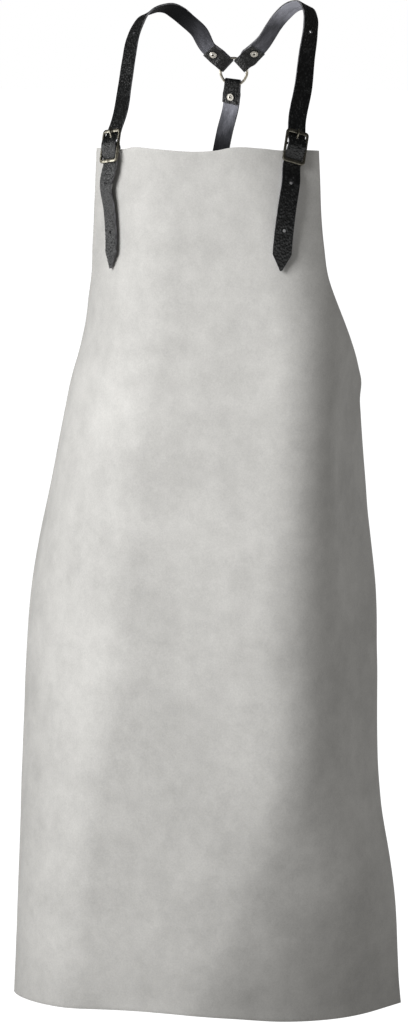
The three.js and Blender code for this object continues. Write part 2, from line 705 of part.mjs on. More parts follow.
// Back strap: ring loop, run down the back, fold round the waist strap with the tail inside
function backStrap(loop, waist) {
  const stations = [...loop.stations];
  const crossing = strapFrame(waist, nearestOn(waist, new THREE.Vector3(WAIST_LOOP, 60, WAIST_HEIGHT)));
  const out = crossing.n.clone().negate();
  const w = new THREE.Vector3().crossVectors(out, Z.clone().negate());
  for (const row of BACK_RUN) {
    stations.push({ p: new THREE.Vector3(row.x, row.y, row.z), w: new THREE.Vector3(row.wx, row.wy, 0) });
  }
  const wrap = STRAP_LEATHER + GAP + LOOP_SLACK;
  const lap = (STRAP_LEATHER + GAP) / 2;
  const half = STRAP_WIDTH / 2 + GAP;
  const place = (rise, off) => crossing.p.clone().addScaledVector(Z, rise).addScaledVector(out, off);
  const reach = [
    [half + 25, lap],
    [half + 18, lap],
    [half + 12, lap],
    [half + 9.6, lap],
    [half + 7, lap + 0.3],
    [half + 3, wrap - 0.3],
    [half, wrap],
  ];
  for (const [rise, off] of reach) {
    stations.push({ p: place(rise, off), w });
  }
  for (let turn = 90; turn >= -90; turn -= 22.5) {
    const p = place(-half - wrap * Math.cos(turn * RAD), wrap * Math.sin(turn * RAD));
    stations.push({ p, w });
  }
  for (const [rise, off] of reach.reverse()) {
    stations.push({ p: place(rise, -off), w });
  }
  const rivet = place(half + 18, 0);
  const grip = 2 * STRAP_LEATHER + GAP;
  const keep = [...LOOP_ROWS, ...WAIST_ROWS];
  let strap = solidOf(strapGeometry(strapPath(stations), STRAP_WIDTH, STRAP_LEATHER, 0, 14, keep));
  strap = strap.subtract(barSolid(loop.rivet, loop.out, RIVET_SHANK + GAP, 20, 10));
  strap = strap.subtract(barSolid(rivet, out, RIVET_SHANK + GAP, 20, 10));
  return { geometry: geometryOf(strap), rivet, out, grip };
}

// Waist strap: lapped inside each waist corner and led round the back
function waistPath() {
  const stations = [];
  const drop = BIB_TOP - WAIST_HEIGHT;
  const inside = BODY_LEATHER + 3 * GAP + STRAP_LEATHER / 2;
  const edge = smoothAt(PATTERN_EDGE, drop).half;
  const lapped = (hand, short) => {
    const f = apronFrame(hand * (edge - short), drop);
    return { p: f.place.addScaledVector(f.out, -inside), w: f.up };
  };
  for (const short of [1, 0.75, 0.5, 0.25, 0.06]) {
    stations.push(lapped(-1, short * WAIST_LAP));
  }
  for (const row of WAIST_RUN) {
    stations.push({ p: new THREE.Vector3(-row.x, row.y, WAIST_HEIGHT), w: Z });
  }
  for (const row of WAIST_RUN.slice(0, -1).reverse()) {
    stations.push({ p: new THREE.Vector3(row.x, row.y, WAIST_HEIGHT), w: Z });
  }
  for (const short of [0.06, 0.25, 0.5, 0.75, 1]) {
    stations.push(lapped(1, short * WAIST_LAP));
  }
  return strapPath(stations);
}

// Finishes
const paleLeather = new THREE.MeshStandardMaterial({
  name: "pale_leather",
  color: 0xc6c4bf,
  roughness: 0.9,
});
const blackLeather = new THREE.MeshStandardMaterial({
  name: "black_leather",
  color: 0x141415,
  roughness: 0.5,
});
const nickel = new THREE.MeshStandardMaterial({
  name: "nickel",
  color: 0x9a9484,
  roughness: 0.35,
  metalness: 1,
});

const apron = new THREE.Group();
apron.name = "leather_apron";

function addPiece(name, geometry, material) {
  geometry.computeVertexNormals();
  const mesh = new THREE.Mesh(geometry, material);
  mesh.name = name;
  apron.add(mesh);
}

const hands = [
  {
    name: "right",
    hand: 1,
    lean: new THREE.Vector3(0.07, 0.38, 0.92),
    yaw: 0,
    slant: -0.08,
    run: RIGHT_RUN,
    freeEnd: RIGHT_END,
  },
  {
    name: "left",
    hand: -1,
    lean: new THREE.Vector3(0.06, 0.3, 0.95),
    yaw: 2,
    slant: 0.08,
    run: LEFT_RUN,
    freeEnd: LEFT_END,
  },
];

let body = solidOf(apronGeometry());
for (const { name, hand, lean, yaw, slant, run, freeEnd } of hands) {
  const buckle = buckleFrame(hand, lean, yaw);
  const loop = ringLoop(LOOPS[name]);
  const path = shoulderPath(loop, run, buckle, hand, freeEnd);
  const chape = chapeGeometry(buckle, hand, slant);
  body = body.subtract(chape.hole);
  addPiece(`shoulder_strap_${name}`, shoulderStrap(loop, path, buckle), blackLeather);
  addPiece(`buckle_frame_${name}`, buckleFrameGeometry(buckle), nickel);
  addPiece(`buckle_tongue_${name}`, geometryOf(tongueSolid(buckle, TONGUE_WIRE)), nickel);
  addPiece(`chape_${name}`, chape.geometry, blackLeather);
  addPiece(`bib_rivet_${name}`, rivetGeometry(chape.middle, chape.out, chape.grip), nickel);
  addPiece(`ring_rivet_${name}`, rivetGeometry(loop.rivet, loop.out, loop.grip), nickel);
}
addPiece("apron_body", geometryOf(body), paleLeather);

const waist = waistPath();
const lowerLoop = ringLoop(LOOPS.lower);
const back = backStrap(lowerLoop, waist);
addPiece("back_ring", ringGeometry(), nickel);
addPiece("ring_rivet_lower", rivetGeometry(lowerLoop.rivet, lowerLoop.out, lowerLoop.grip), nickel);
addPiece("back_strap", back.geometry, blackLeather);
addPiece("back_strap_rivet", rivetGeometry(back.rivet, back.out, back.grip), nickel);
addPiece("waist_strap", strapGeometry(waist, STRAP_WIDTH, STRAP_LEATHER, 0, 12), blackLeather);

export default apron;
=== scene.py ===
# %% [markdown]
# # A bib apron of pale split leather on a black strap harness
# The apron is one big piece of split leather that hangs in its worn form. Black straps carry it: they
# are buckled to the bib's top corners, arch up and back, and meet at a steel ring behind the bib.
# The solid model gives every piece its place; this lesson dresses it, piece by piece, in Blender.

# %% Load the solid model
import math

import bpy
from mathutils import Matrix, Vector, noise


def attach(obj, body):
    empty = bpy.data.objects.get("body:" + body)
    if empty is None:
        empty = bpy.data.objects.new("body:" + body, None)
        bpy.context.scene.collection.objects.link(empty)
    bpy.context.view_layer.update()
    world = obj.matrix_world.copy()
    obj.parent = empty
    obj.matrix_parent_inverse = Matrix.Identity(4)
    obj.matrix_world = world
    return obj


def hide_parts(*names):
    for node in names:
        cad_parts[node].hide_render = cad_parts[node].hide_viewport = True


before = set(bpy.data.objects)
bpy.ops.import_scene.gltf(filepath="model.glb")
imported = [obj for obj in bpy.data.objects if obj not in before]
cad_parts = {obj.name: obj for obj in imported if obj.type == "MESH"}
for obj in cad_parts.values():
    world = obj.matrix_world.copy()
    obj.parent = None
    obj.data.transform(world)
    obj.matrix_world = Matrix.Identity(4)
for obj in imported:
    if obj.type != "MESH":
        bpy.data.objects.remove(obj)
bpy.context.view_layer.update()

MM = 0.001

# %% [markdown]
# ## The camera
# The picture was taken a little from the right of the front, with the lens level with the top of the
# straps and far enough away that the sides hardly converge. A long lens five metres off gives the
# same view. The sensor's width counts along the picture's longer side, so the lens follows from the
# height.

# %% Camera
AXIS = Vector((0.0, -0.118, 0.0))
AIM = Vector((0.0, -0.118, -0.599))
TURN = math.radians(11.5)
DISTANCE = 5.0
VIEW_HEIGHT = math.radians(13.6)
SENSOR = 36.0

bpy.ops.object.select_all(action="DESELECT")
bpy.ops.object.camera_add(location=AXIS + DISTANCE * Vector((math.sin(TURN), -math.cos(TURN), 0.0)))
camera = bpy.context.object
camera.name = "photo_camera"
camera.rotation_euler = (AIM - camera.location).to_track_quat("-Z", "Y").to_euler()
camera.data.sensor_width = SENSOR
camera.data.lens = SENSOR / 2 / math.tan(VIEW_HEIGHT / 2)
camera.data.clip_end = 200.0
bpy.context.scene.camera = camera
print("lens", round(camera.data.lens, 1), "mm")

# %% [markdown]
# ## The floor
# The ground of the picture is plain white. A wide plane below the hem glows, so that it is as white as
# the backdrop and the line between them is lost. It sends no light back up, because a white floor
# close by would wash out the shaded flank.

# %% Floor
FLOOR_HEIGHT, FLOOR_GLOW = -1.42, 1.05
PALE = (1.0, 1.0, 1.0, 1.0)

bpy.ops.object.select_all(action="DESELECT")
bpy.ops.mesh.primitive_plane_add(size=120.0, location=(0.0, 0.0, FLOOR_HEIGHT))
floor = bpy.context.object
floor.name = "studio_floor"
floor.visible_diffuse = False
floor_finish = bpy.data.materials.new("pale_floor")
floor_finish.use_nodes = True
floor_shader = floor_finish.node_tree.nodes["Principled BSDF"]
floor_shader.inputs["Base Color"].default_value = (0.12, 0.12, 0.12, 1.0)
floor_shader.inputs["Roughness"].default_value = 1.0
floor_shader.inputs["Emission Color"].default_value = PALE
floor_shader.inputs["Emission Strength"].default_value = FLOOR_GLOW
floor.data.materials.append(floor_finish)
print("floor at", FLOOR_HEIGHT, "m")

# %% [markdown]
# ## The surroundings
# An even light from all round fills the shadows, as pale studio walls do. Black leather and metal show
# what they mirror, so reflections get darker walls, which keeps them black. The lens itself sees a
# white backdrop. The kind of ray chooses between the three.

# %% World
AMBIENT, MIRRORED = 0.282, 0.09

world = bpy.data.worlds.new("studio_world")
bpy.context.scene.world = world
world.use_nodes = True
sky = world.node_tree
sky.nodes["Background"].inputs["Color"].default_value = (1.0, 0.99, 0.97, 1.0)
sky.nodes["Background"].inputs["Strength"].default_value = AMBIENT
backdrop = sky.nodes.new("ShaderNodeBackground")
backdrop.inputs["Color"].default_value = PALE
dark_walls = sky.nodes.new("ShaderNodeBackground")
dark_walls.inputs["Strength"].default_value = MIRRORED
ray = sky.nodes.new("ShaderNodeLightPath")
seen = sky.nodes["Background"].outputs[0]
for kind, shade in (("Is Glossy Ray", dark_walls), ("Is Camera Ray", backdrop)):
    choose = sky.nodes.new("ShaderNodeMixShader")
    sky.links.new(ray.outputs[kind], choose.inputs[0])
    sky.links.new(seen, choose.inputs[1])
    sky.links.new(shade.outputs[0], choose.inputs[2])
    seen = choose.outputs[0]
sky.links.new(seen, sky.nodes["World Output"].inputs["Surface"])
print("world strength", AMBIENT, "and in reflections", MIRRORED)

# %% [markdown]
# ## The lights
# A wide soft light stands to the left of the front, so the left flank is bright and the right flank
# falls off slowly. A weaker one behind lights the far sides of the straps. In a studio, white cards
# draw highlights on dark things. Two more lights are such cards here: they show only in reflections,
# and the first two lights do not, so tone and gloss can be set apart.

# %% Lights
LIGHT_AIM = (0.0, -0.1, -0.45)
KEY_PLACE, KEY_SIZE = (-1.83, -2.53, 1.0), (2.0, 2.2)


def soft_light(name, place, aim, size, watts):
    bpy.ops.object.select_all(action="DESELECT")
    bpy.ops.object.light_add(type="AREA", location=place)
    lamp = bpy.context.object
    lamp.name = name
    lamp.data.shape = "RECTANGLE"
    lamp.data.size, lamp.data.size_y = size
    lamp.data.energy = watts
    lamp.rotation_euler = (Vector(aim) - Vector(place)).to_track_quat("-Z", "Y").to_euler()
    return lamp


key_light = soft_light("key_light", KEY_PLACE, LIGHT_AIM, KEY_SIZE, 127.0)
back_light = soft_light("back_light", (1.2, 2.6, 1.2), (0.0, 0.0, -0.4), (1.6, 1.6), 26.0)
key_light.visible_glossy = back_light.visible_glossy = False
front_card = soft_light("front_card", KEY_PLACE, LIGHT_AIM, KEY_SIZE, 44.0)
side_card = soft_light("side_card", (-3.0, -0.6, -0.2), (0.0, -0.1, -0.2), (1.3, 2.0), 50.0)
front_card.visible_diffuse = side_card.visible_diffuse = False
bpy.context.scene.view_settings.view_transform = "Standard"

# %% [markdown]
# ## Finishes
# Every finish is built from noise and cell patterns, with no picture. A new finish starts with the
# standard shader. Nodes are added to it with their values set, and a socket takes either a plain value
# or a link from another node.

# %% Node helpers
def finish_named(name):
    finish = bpy.data.materials.new(name)
    finish.use_nodes = True
    return finish, finish.node_tree, finish.node_tree.nodes["Principled BSDF"]


def add_node(tree, kind, **sockets):
    made = tree.nodes.new(kind)
    for socket, value in sockets.items():
        made.inputs[socket.replace("_", " ")].default_value = value
    return made


def feed(tree, socket, value):
    if isinstance(value, bpy.types.NodeSocket):
        tree.links.new(value, socket)
    else:
        socket.default_value = value


print("helpers for nodes ready")

# %% [markdown]
# ### Shaping a tone
# A pattern is stretched to a new range, added to another or multiplied by it, and then blends two
# colours or raises the surface. Each helper wraps one such step, so that every finish below reads as a
# short recipe.

# %% Tone helpers
def ramp(tree, source, low, high, start, end):
    made = add_node(tree, "ShaderNodeMapRange", From_Min=low, From_Max=high, To_Min=start, To_Max=end)
    tree.links.new(source, made.inputs["Value"])
    return made.outputs["Result"]


def math_of(tree, operation, first, second):
    made = tree.nodes.new("ShaderNodeMath")
    made.operation = operation
    feed(tree, made.inputs[0], first)
    feed(tree, made.inputs[1], second)
    return made.outputs[0]


def mixed(tree, first, first_share, second, second_share):
    parts = [math_of(tree, "MULTIPLY", *part) for part in ((first, first_share), (second, second_share))]
    return math_of(tree, "ADD", *parts)


def blend_colours(tree, amount, first, second):
    made = tree.nodes.new("ShaderNodeMix")
    made.data_type = "RGBA"
    tree.links.new(amount, made.inputs[0])
    for socket, colour in ((made.inputs[6], first), (made.inputs[7], second)):
        feed(tree, socket, (*colour, 1.0) if isinstance(colour, tuple) else colour)
    return made.outputs[2]


def relief(tree, shader, height, strength, distance):
    made = add_node(tree, "ShaderNodeBump", Strength=strength, Distance=distance)
    tree.links.new(height, made.inputs["Height"])
    tree.links.new(made.outputs["Normal"], shader.inputs["Normal"])


print("helpers for tones ready")

# %% [markdown]
# ### Where a pattern is read
# A pattern needs a place on the piece. The body and the metal read it from the piece's own space. A
# strap reads it from its flat cut instead, in metres across and along, so the grain runs with the
# strap however it bends.

# %% Pattern helpers
def object_place(tree):
    return tree.nodes.new("ShaderNodeTexCoord").outputs["Object"]


def pattern_place(tree, along=1.0):
    place = tree.nodes.new("ShaderNodeTexCoord").outputs["UV"]
    made = add_node(tree, "ShaderNodeMapping", Scale=(1.0, along, 1.0))
    tree.links.new(place, made.inputs["Vector"])
    return made.outputs["Vector"]


def parts_of(tree, place):
    made = tree.nodes.new("ShaderNodeSeparateXYZ")
    tree.links.new(place, made.inputs[0])
    return made.outputs


def noise_at(tree, place, scale, detail=3.0, rough=0.5):
    made = add_node(tree, "ShaderNodeTexNoise", Scale=scale, Detail=detail, Roughness=rough)
    tree.links.new(place, made.inputs["Vector"])
    return made.outputs["Fac"]


print("helpers for patterns ready")

# %% [markdown]
# ## Pale split leather
# Split leather is the lower layer of a hide: it has no grain, only a short dull nap, and it takes
# tanning unevenly, so the colour drifts in clouds. Three sizes of noise give clouds, blotches and
# fibres. The nap scatters light, so the surface is very rough and hardly shines. The flanks, the
# bib's top and the hem are darkened a little by where they are on the apron: this is painted shade.

# %% Pale split leather
SHADE_FACTOR = 0.8
# in metres: from, to, and how much painted shade there is at each
FLANK_DEPTH, FLANK_SIDE = (-0.15, -0.03, 0.0, 1.0), (-0.08, 0.08, 1.0, 0.3)
BIB_HEIGHT, HEM_HEIGHT = (-0.5, -0.2, 0.0, 0.4), (-1.2, -1.1, 0.6, 0.0)


# Painted shade: how much darkening each spot gets, on the flanks (most of all the left one), the bib's
# top and the hem.
def painted_shade_share(tree, place):
    across, deep, high = parts_of(tree, place)
    flanks = math_of(tree, "MULTIPLY", ramp(tree, deep, *FLANK_DEPTH), ramp(tree, across, *FLANK_SIDE))
    ends = math_of(tree, "ADD", ramp(tree, high, *BIB_HEIGHT), ramp(tree, high, *HEM_HEIGHT))
    return math_of(tree, "ADD", flanks, ends)


def split_leather(name, light, dark):
    finish, tree, shader = finish_named(name)
    place = object_place(tree)
    clouds = ramp(tree, noise_at(tree, place, 7.0, 4.0, 0.55), 0.3, 0.7, 0.0, 1.0)
    blotches = ramp(tree, noise_at(tree, place, 40.0, 5.0, 0.68), 0.3, 0.7, 0.0, 1.0)
    fibres = noise_at(tree, place, 520.0, 3.0, 0.7)
    tone = mixed(tree, clouds, 0.42, blotches, 0.3)
    tone = math_of(tree, "ADD", tone, ramp(tree, fibres, 0.3, 0.7, 0.0, 0.28))
    unshaded_colour = blend_colours(tree, tone, dark, light)
    # The shaded colours are the same leather darkened, to paint shade on the flanks, the bib's top and
    # the hem.
    soiled = blend_colours(tree, tone, tuple(SHADE_FACTOR * c for c in dark), tuple(SHADE_FACTOR * c for c in light))
    tree.links.new(blend_colours(tree, painted_shade_share(tree, place), unshaded_colour, soiled), shader.inputs["Base Color"])
    tree.links.new(ramp(tree, blotches, 0.0, 1.0, 0.86, 0.97), shader.inputs["Roughness"])
    shader.inputs["Specular IOR Level"].default_value = 0.06
    dents = noise_at(tree, place, 150.0, 4.0, 0.6)
    relief(tree, shader, mixed(tree, fibres, 0.55, dents, 0.45), 0.35, 0.0006)
    return finish


outer_split = split_leather("pale_split_leather", (0.73, 0.721, 0.697), (0.432, 0.427, 0.413))
inner_split = split_leather("pale_split_inside", (0.6, 0.585, 0.555), (0.44, 0.43, 0.41))
cut_split = split_leather("pale_split_cut_edge", (0.5, 0.49, 0.47), (0.36, 0.352, 0.335))
print("made", outer_split.name, inner_split.name, cut_split.name)

# %% [markdown]
# ## Black strap leather
# The straps are full-grain leather, dyed black and pressed to a pebbled grain. A cell pattern a little
# over two millimetres wide gives the pebbles, and the creases between them give the relief. The tops
# of some pebbles are smoother and painted paler: the pale colour is a painted highlight, so only a few
# of them catch the light.

# %% Pebbled grain
def pebbled_black():
    finish, tree, shader = finish_named("black_pebbled_grain")
    place = pattern_place(tree, 0.8)
    cells = add_node(tree, "ShaderNodeTexVoronoi", Scale=420.0)
    tree.links.new(place, cells.inputs["Vector"])
    pebbles = ramp(tree, cells.outputs["Distance"], 0.1, 0.75, 1.0, 0.0)
    chance = tree.nodes.new("ShaderNodeSeparateColor")
    tree.links.new(cells.outputs["Color"], chance.inputs[0])
    # Patches where pebble tops get a painted highlight.
    glint_patches = ramp(tree, noise_at(tree, place, 110.0, 3.0, 0.6), 0.36, 0.66, 0.15, 1.0)
    picked = math_of(tree, "MULTIPLY", ramp(tree, chance.outputs[0], 0.25, 0.95, 0.0, 1.0), glint_patches)
    tops = math_of(tree, "MULTIPLY", ramp(tree, pebbles, 0.3, 0.85, 0.0, 1.0), picked)
    # Painted highlight: the picked pebble tops are painted paler.
    colour = blend_colours(tree, tops, (0.0012, 0.0015, 0.0015), (0.05, 0.053, 0.053))
    tree.links.new(colour, shader.inputs["Base Color"])
    tree.links.new(ramp(tree, tops, 0.0, 1.0, 0.42, 0.3), shader.inputs["Roughness"])
    shader.inputs["Specular IOR Level"].default_value = 0.42
    fine = noise_at(tree, place, 1600.0, 2.0)
    relief(tree, shader, mixed(tree, pebbles, 0.85, fine, 0.15), 0.85, 0.0009)
    return finish


grain_black = pebbled_black()
print("made", grain_black.name)

# %% [markdown]
# ### The flesh side
# The back of a strap is rough and takes the dye badly, so it is a dull blue-grey. Its tone carries
# painted light and shade: along each strap it goes from one value to another between two places
# along its cut, with a ragged border, and clouds and fibres break it up.

# %% Flesh side
RAGGED = 0.009
# metres along the strap: from, to; tone before and after, as painted light and shade
FLESH_LIGHT_AND_SHADE = {
    "right": (0.11, 0.185, 0.5, 2.6),
    "left": (0.066, 0.128, 0.62, 0.01),
    "back": (0.06, 0.125, 1.0, 0.01),
    # the plain row, for the hidden straps and chapes, only darkens a little along the strap
    "plain": (0.05, 0.3, 0.5, 0.3),
}


def flesh_black(name, start, end, first, last):
    finish, tree, shader = finish_named(name)
    place = pattern_place(tree, 0.35)
    clouds = ramp(tree, noise_at(tree, place, 55.0, 4.0, 0.6), 0.32, 0.68, 0.25, 1.0)
    fibres = noise_at(tree, place, 900.0, 4.0, 0.75)
    tone = math_of(tree, "MULTIPLY", clouds, ramp(tree, fibres, 0.25, 0.75, 0.45, 1.0))
    along = parts_of(tree, pattern_place(tree))["Y"]
    drift = ramp(tree, noise_at(tree, place, 130.0, 5.0, 0.7), 0.2, 0.8, -RAGGED, RAGGED)
    fade = ramp(tree, math_of(tree, "ADD", along, drift), start, end, 1.0, 0.0)
    # Painted light and shade: the tone changes along the strap.
    painted_tone = ramp(tree, math_of(tree, "MULTIPLY", fade, fade), 0.0, 1.0, last, first)
    tone = math_of(tree, "MULTIPLY", tone, painted_tone)
    colour = blend_colours(tree, tone, (0.004, 0.0043, 0.0055), (0.64, 0.65, 0.74))
    tree.links.new(colour, shader.inputs["Base Color"])
    tree.links.new(ramp(tree, clouds, 0.0, 1.0, 0.72, 0.92), shader.inputs["Roughness"])
    shader.inputs["Specular IOR Level"].default_value = 0.1
    relief(tree, shader, fibres, 0.4, 0.0004)
    return finish


flesh_sides = {}
for strap_name, row in FLESH_LIGHT_AND_SHADE.items():
    flesh_sides[strap_name] = flesh_black(f"black_leather_flesh_{strap_name}", *row)
print("made", len(flesh_sides), "flesh sides")

# %% [markdown]
# ### The cut edge
# The dye does not go right through the leather, so a cut edge is paler in patches. Coarse noise sets
# the bare patches and fine noise the fibres in them.

# %% Cut edge
def cut_black():
    finish, tree, shader = finish_named("black_leather_cut_edge")
    place = object_place(tree)
    bare = ramp(tree, noise_at(tree, place, 120.0, 4.0, 0.65), 0.38, 0.62, 0.0, 1.0)
    fibres = noise_at(tree, place, 1400.0, 3.0, 0.7)
    tone = math_of(tree, "MULTIPLY", bare, ramp(tree, fibres, 0.2, 0.8, 0.5, 1.0))
    colour = blend_colours(tree, tone, (0.02, 0.02, 0.022), (0.21, 0.21, 0.225))
    tree.links.new(colour, shader.inputs["Base Color"])
    tree.links.new(ramp(tree, bare, 0.0, 1.0, 0.55, 0.85), shader.inputs["Roughness"])
    relief(tree, shader, fibres, 0.3, 0.0003)
    return finish


edge_black = cut_black()
print("made", edge_black.name)

# %% [markdown]
# ## Worn nickel
# The buckles, rivets and ring are plated steel. The plate has dulled in patches, gone brownish where
# the brass under it shows, and carries fine scratches. A metal shows what surrounds it, so most of
# the look is in the roughness: smooth patches mirror the light and dull ones spread it.

# %% Worn nickel
def plated(name, bright, tarnished, cover):
    finish, tree, shader = finish_named(name)
    place = object_place(tree)
    patches = ramp(tree, noise_at(tree, place, 210.0, 5.0, 0.65), cover - 0.12, cover + 0.12, 0.0, 1.0)
    stretched = add_node(tree, "ShaderNodeMapping", Scale=(1.0, 0.18, 1.0), Rotation=(0.3, 0.5, 0.9))
    tree.links.new(place, stretched.inputs["Vector"])
    scratches = noise_at(tree, stretched.outputs["Vector"], 2600.0, 2.0, 0.5)
    tree.links.new(blend_colours(tree, patches, tarnished, bright), shader.inputs["Base Color"])
    dull = ramp(tree, patches, 0.0, 1.0, 0.4, 0.2)
    rough = math_of(tree, "ADD", dull, ramp(tree, scratches, 0.35, 0.75, 0.0, 0.16))
    tree.links.new(rough, shader.inputs["Roughness"])
    shader.inputs["Metallic"].default_value = 1.0
    relief(tree, shader, scratches, 0.12, 0.0002)
    return finish


buckle_metal = plated("worn_nickel", (0.26, 0.247, 0.203), (0.065, 0.057, 0.042), 0.5)
rivet_metal = plated("rivet_nickel", (0.8, 0.77, 0.7), (0.4, 0.36, 0.29), 0.42)
ring_metal = plated("ring_nickel", (0.55, 0.52, 0.46), (0.26, 0.23, 0.17), 0.5)
print("made", buckle_metal.name, rivet_metal.name, ring_metal.name)

# %% [markdown]
# ## Reading the maker's tables
# A form is given by short tables: each row holds a place down the apron or along a strap, and the
# sizes there. A smooth curve through the rows gives every size in between. The same tables shape
# the solid model, so the dressed pieces lie where the solids are.

# %% A smooth curve through a table
def slope_at(rows, i, column):
    back, here, after = rows[max(i - 1, 0)], rows[i], rows[min(i + 1, len(rows) - 1)]
    before_gap, after_gap = here[0] - back[0], after[0] - here[0]
    in_slope = (here[column] - back[column]) / before_gap if before_gap > 0 else None
    out_slope = (after[column] - here[column]) / after_gap if after_gap > 0 else in_slope
    in_slope = out_slope if in_slope is None else in_slope
    return (before_gap * out_slope + after_gap * in_slope) / (before_gap + after_gap)


def smooth_at(rows, at):
    i = 0
    while i < len(rows) - 2 and at > rows[i + 1][0]:
        i += 1
    span = rows[i + 1][0] - rows[i][0]
    u = (at - rows[i][0]) / span
    values = []
    for column in range(1, len(rows[0])):
        a, b = rows[i][column], rows[i + 1][column]
        ma, mb = slope_at(rows, i, column) * span, slope_at(rows, i + 1, column) * span
        values.append((((2 * a - 2 * b + ma + mb) * u + 3 * b - 3 * a - 2 * ma - mb) * u + ma) * u + a)
    return values


def ease(low, high, value):
    t = min(max((value - low) / (high - low), 0.0), 1.0)
    return t * t * (3 - 2 * t)


print("a smooth step, a quarter of the way:", ease(0.0, 1.0, 0.25))

# %% [markdown]
# ## The apron body
# The body is cut from one hide: a narrow bib, a sweep out to the waist corners and a straight skirt.
# The cut is set down in tables, in millimetres, by the drop below the bib's top. The top edge and the
# hem have tables of their own, because a hand cut is never quite straight.

# %% Tables of the cut
BIB_TOP = -175.0
BODY_LEATHER = 2.0

# drop, half of the cut's width
PATTERN_EDGE = [
    (0, 147), (58, 151), (110, 156), (150, 164), (186, 186), (221, 217),
    (256, 255), (276, 278), (298, 283), (312, 291), (600, 291), (1000, 290),
]
# place across, drop of the bib's top edge
TOP_CUT = [
    (-1, -0.3), (-0.88, 0), (-0.68, 0), (-0.56, -2.6), (-0.42, -1.8), (-0.3, -0.5), (0, 1.5),
    (0.14, 0), (0.26, -3.4), (0.5, -2.4), (0.66, 0), (0.86, 0), (1, 1),
]
# place across, drop of the hem
HEM_CUT = [
    (-1, 1020), (-0.8, 1017), (-0.5, 1014.5), (0, 1016.5), (0.15, 1020.5),
    (0.35, 1027.5), (0.55, 1031.5), (0.77, 1033), (1, 1031),
]
print("the cut:", len(PATTERN_EDGE), "widths down the apron")

# %% [markdown]
# ### The form it hangs in
# In its worn form each level section has a flat front, a crease at each side and a rounder flank. A
# cloth simulation would give other folds at each try, so the form is set down in tables too.

# %% Tables of the worn form
# drop, depth of the centre line
CENTRE_LINE = [
    (0, -150), (110, -158), (280, -170), (420, -178),
    (560, -184), (720, -184), (860, -178), (1000, -168),
]
# drop, flat front, crease radius, crease turn, flank radius, flank turn
LEFT_SIDE = [
    (0, 25, 120, 22, 190, 52),
    (110, 24, 100, 24, 230, 46.5),
    (200, 32, 90, 26, 165, 69),
    (285, 46, 80, 28, 194, 86),
    (420, 60, 80, 28, 225, 77),
    (560, 74, 80, 28, 262, 67),
    (720, 96, 75, 28, 227, 68),
    (860, 120, 70, 28, 178, 72),
    (1000, 136, 70, 28, 156, 72),
]
RIGHT_SIDE = [
    (0, 25, 120, 22, 190, 50),
    (110, 76, 75, 40, 110, 58),
    (200, 88, 75, 50, 75, 73),
    (285, 94, 66, 58, 65, 83),
    (420, 86, 70, 56, 80, 82.5),
    (560, 80, 80, 54, 140, 74),
    (720, 88, 75, 48, 110, 73),
    (860, 46, 130, 14, 175, 76),
    (1000, -6, 160, 17, 260, 61),
]
# from across and drop, to across and drop, rise, half breadth
FOLDS = [
    (96, 560, -20, 1010, 4.0, 55.0),
]
print("the worn form:", len(LEFT_SIDE), "sections on each side")

# %% [markdown]
# ### Walking along a section
# A spot of the cut is named by its length across from the centre line and its drop. Walking that
# length along the section's flat, crease and flank gives how far aside and how far back it comes to
# lie. A fold then lifts it off the surface.

# %% Sections and folds
def side_reach(side, length):
    flat, crease_r, crease_turn, flank_r, flank_turn = side
    crease_turn, flank_turn = math.radians(crease_turn), math.radians(flank_turn)
    crease = min(max(length - flat, 0.0), crease_r * crease_turn) / crease_r
    past_crease = length - flat - crease_r * crease_turn
    flank_span = flank_turn - crease_turn
    flank = min(max(past_crease, 0.0), flank_r * flank_span) / flank_r
    straight = max(past_crease - flank_r * flank_span, 0.0)
    turn = crease + flank
    across = (min(length, flat) + crease_r * math.sin(crease)
              + flank_r * (math.sin(turn) - math.sin(crease)) + straight * math.cos(turn))
    back = (crease_r * (1 - math.cos(crease))
            + flank_r * (math.cos(crease) - math.cos(turn)) + straight * math.sin(turn))
    return across, back, turn


def fold_rise(across, drop):
    rise = 0.0
    for from_across, from_drop, to_across, to_drop, height, breadth in FOLDS:
        run_across, run_drop = to_across - from_across, to_drop - from_drop
        run = math.hypot(run_across, run_drop)
        along = ((across - from_across) * run_across + (drop - from_drop) * run_drop) / run
        aside = ((across - from_across) * run_drop - (drop - from_drop) * run_across) / run
        rise += height * ease(0.0, 0.6 * run, along) * math.exp(-((aside / breadth) ** 2))
    return rise


print("aside and back at a waist corner:", [round(v) for v in side_reach(RIGHT_SIDE[3][1:], 278)[:2]])

# %% [markdown]
# ### Where a spot comes to lie
# The section, the centre line and the folds give the place of any spot. Spots close beside it, above
# and below give the directions across, up and out of the leather there, on which straps and rivets
# are set.

# %% Place on the worn apron
def apron_place(across, drop, lift=0.0):
    depth = smooth_at(CENTRE_LINE, drop)[0]
    side = smooth_at(RIGHT_SIDE if across >= 0 else LEFT_SIDE, drop)
    reach, back, turn = side_reach(side, abs(across))
    hand = 1 if across >= 0 else -1
    rise = fold_rise(across, drop) + lift
    aside = hand * (reach + rise * math.sin(turn))
    return Vector((aside, depth + back - rise * math.cos(turn), BIB_TOP - drop))


def apron_axes(across, drop):
    step = 0.5
    side = (apron_place(across + step, drop) - apron_place(across - step, drop)).normalized()
    down = apron_place(across, drop + step) - apron_place(across, drop - step)
    out = down.cross(side).normalized()
    return apron_place(across, drop), side, out.cross(side).normalized(), out


print("bib corner", [round(v) for v in apron_place(147, 0)])

# %% [markdown]
# ### Cut the leather flat
# A hide is cut flat, so the body starts as a flat grid. Each grid point is moved to its place in the
# cut. The edges were cut by hand, so a little noise makes them wander by less than a millimetre.

# %% The flat cut
CELLS_ACROSS, CELLS_DOWN = 132, 224
WANDER, WANDER_LENGTH = 0.9, 45
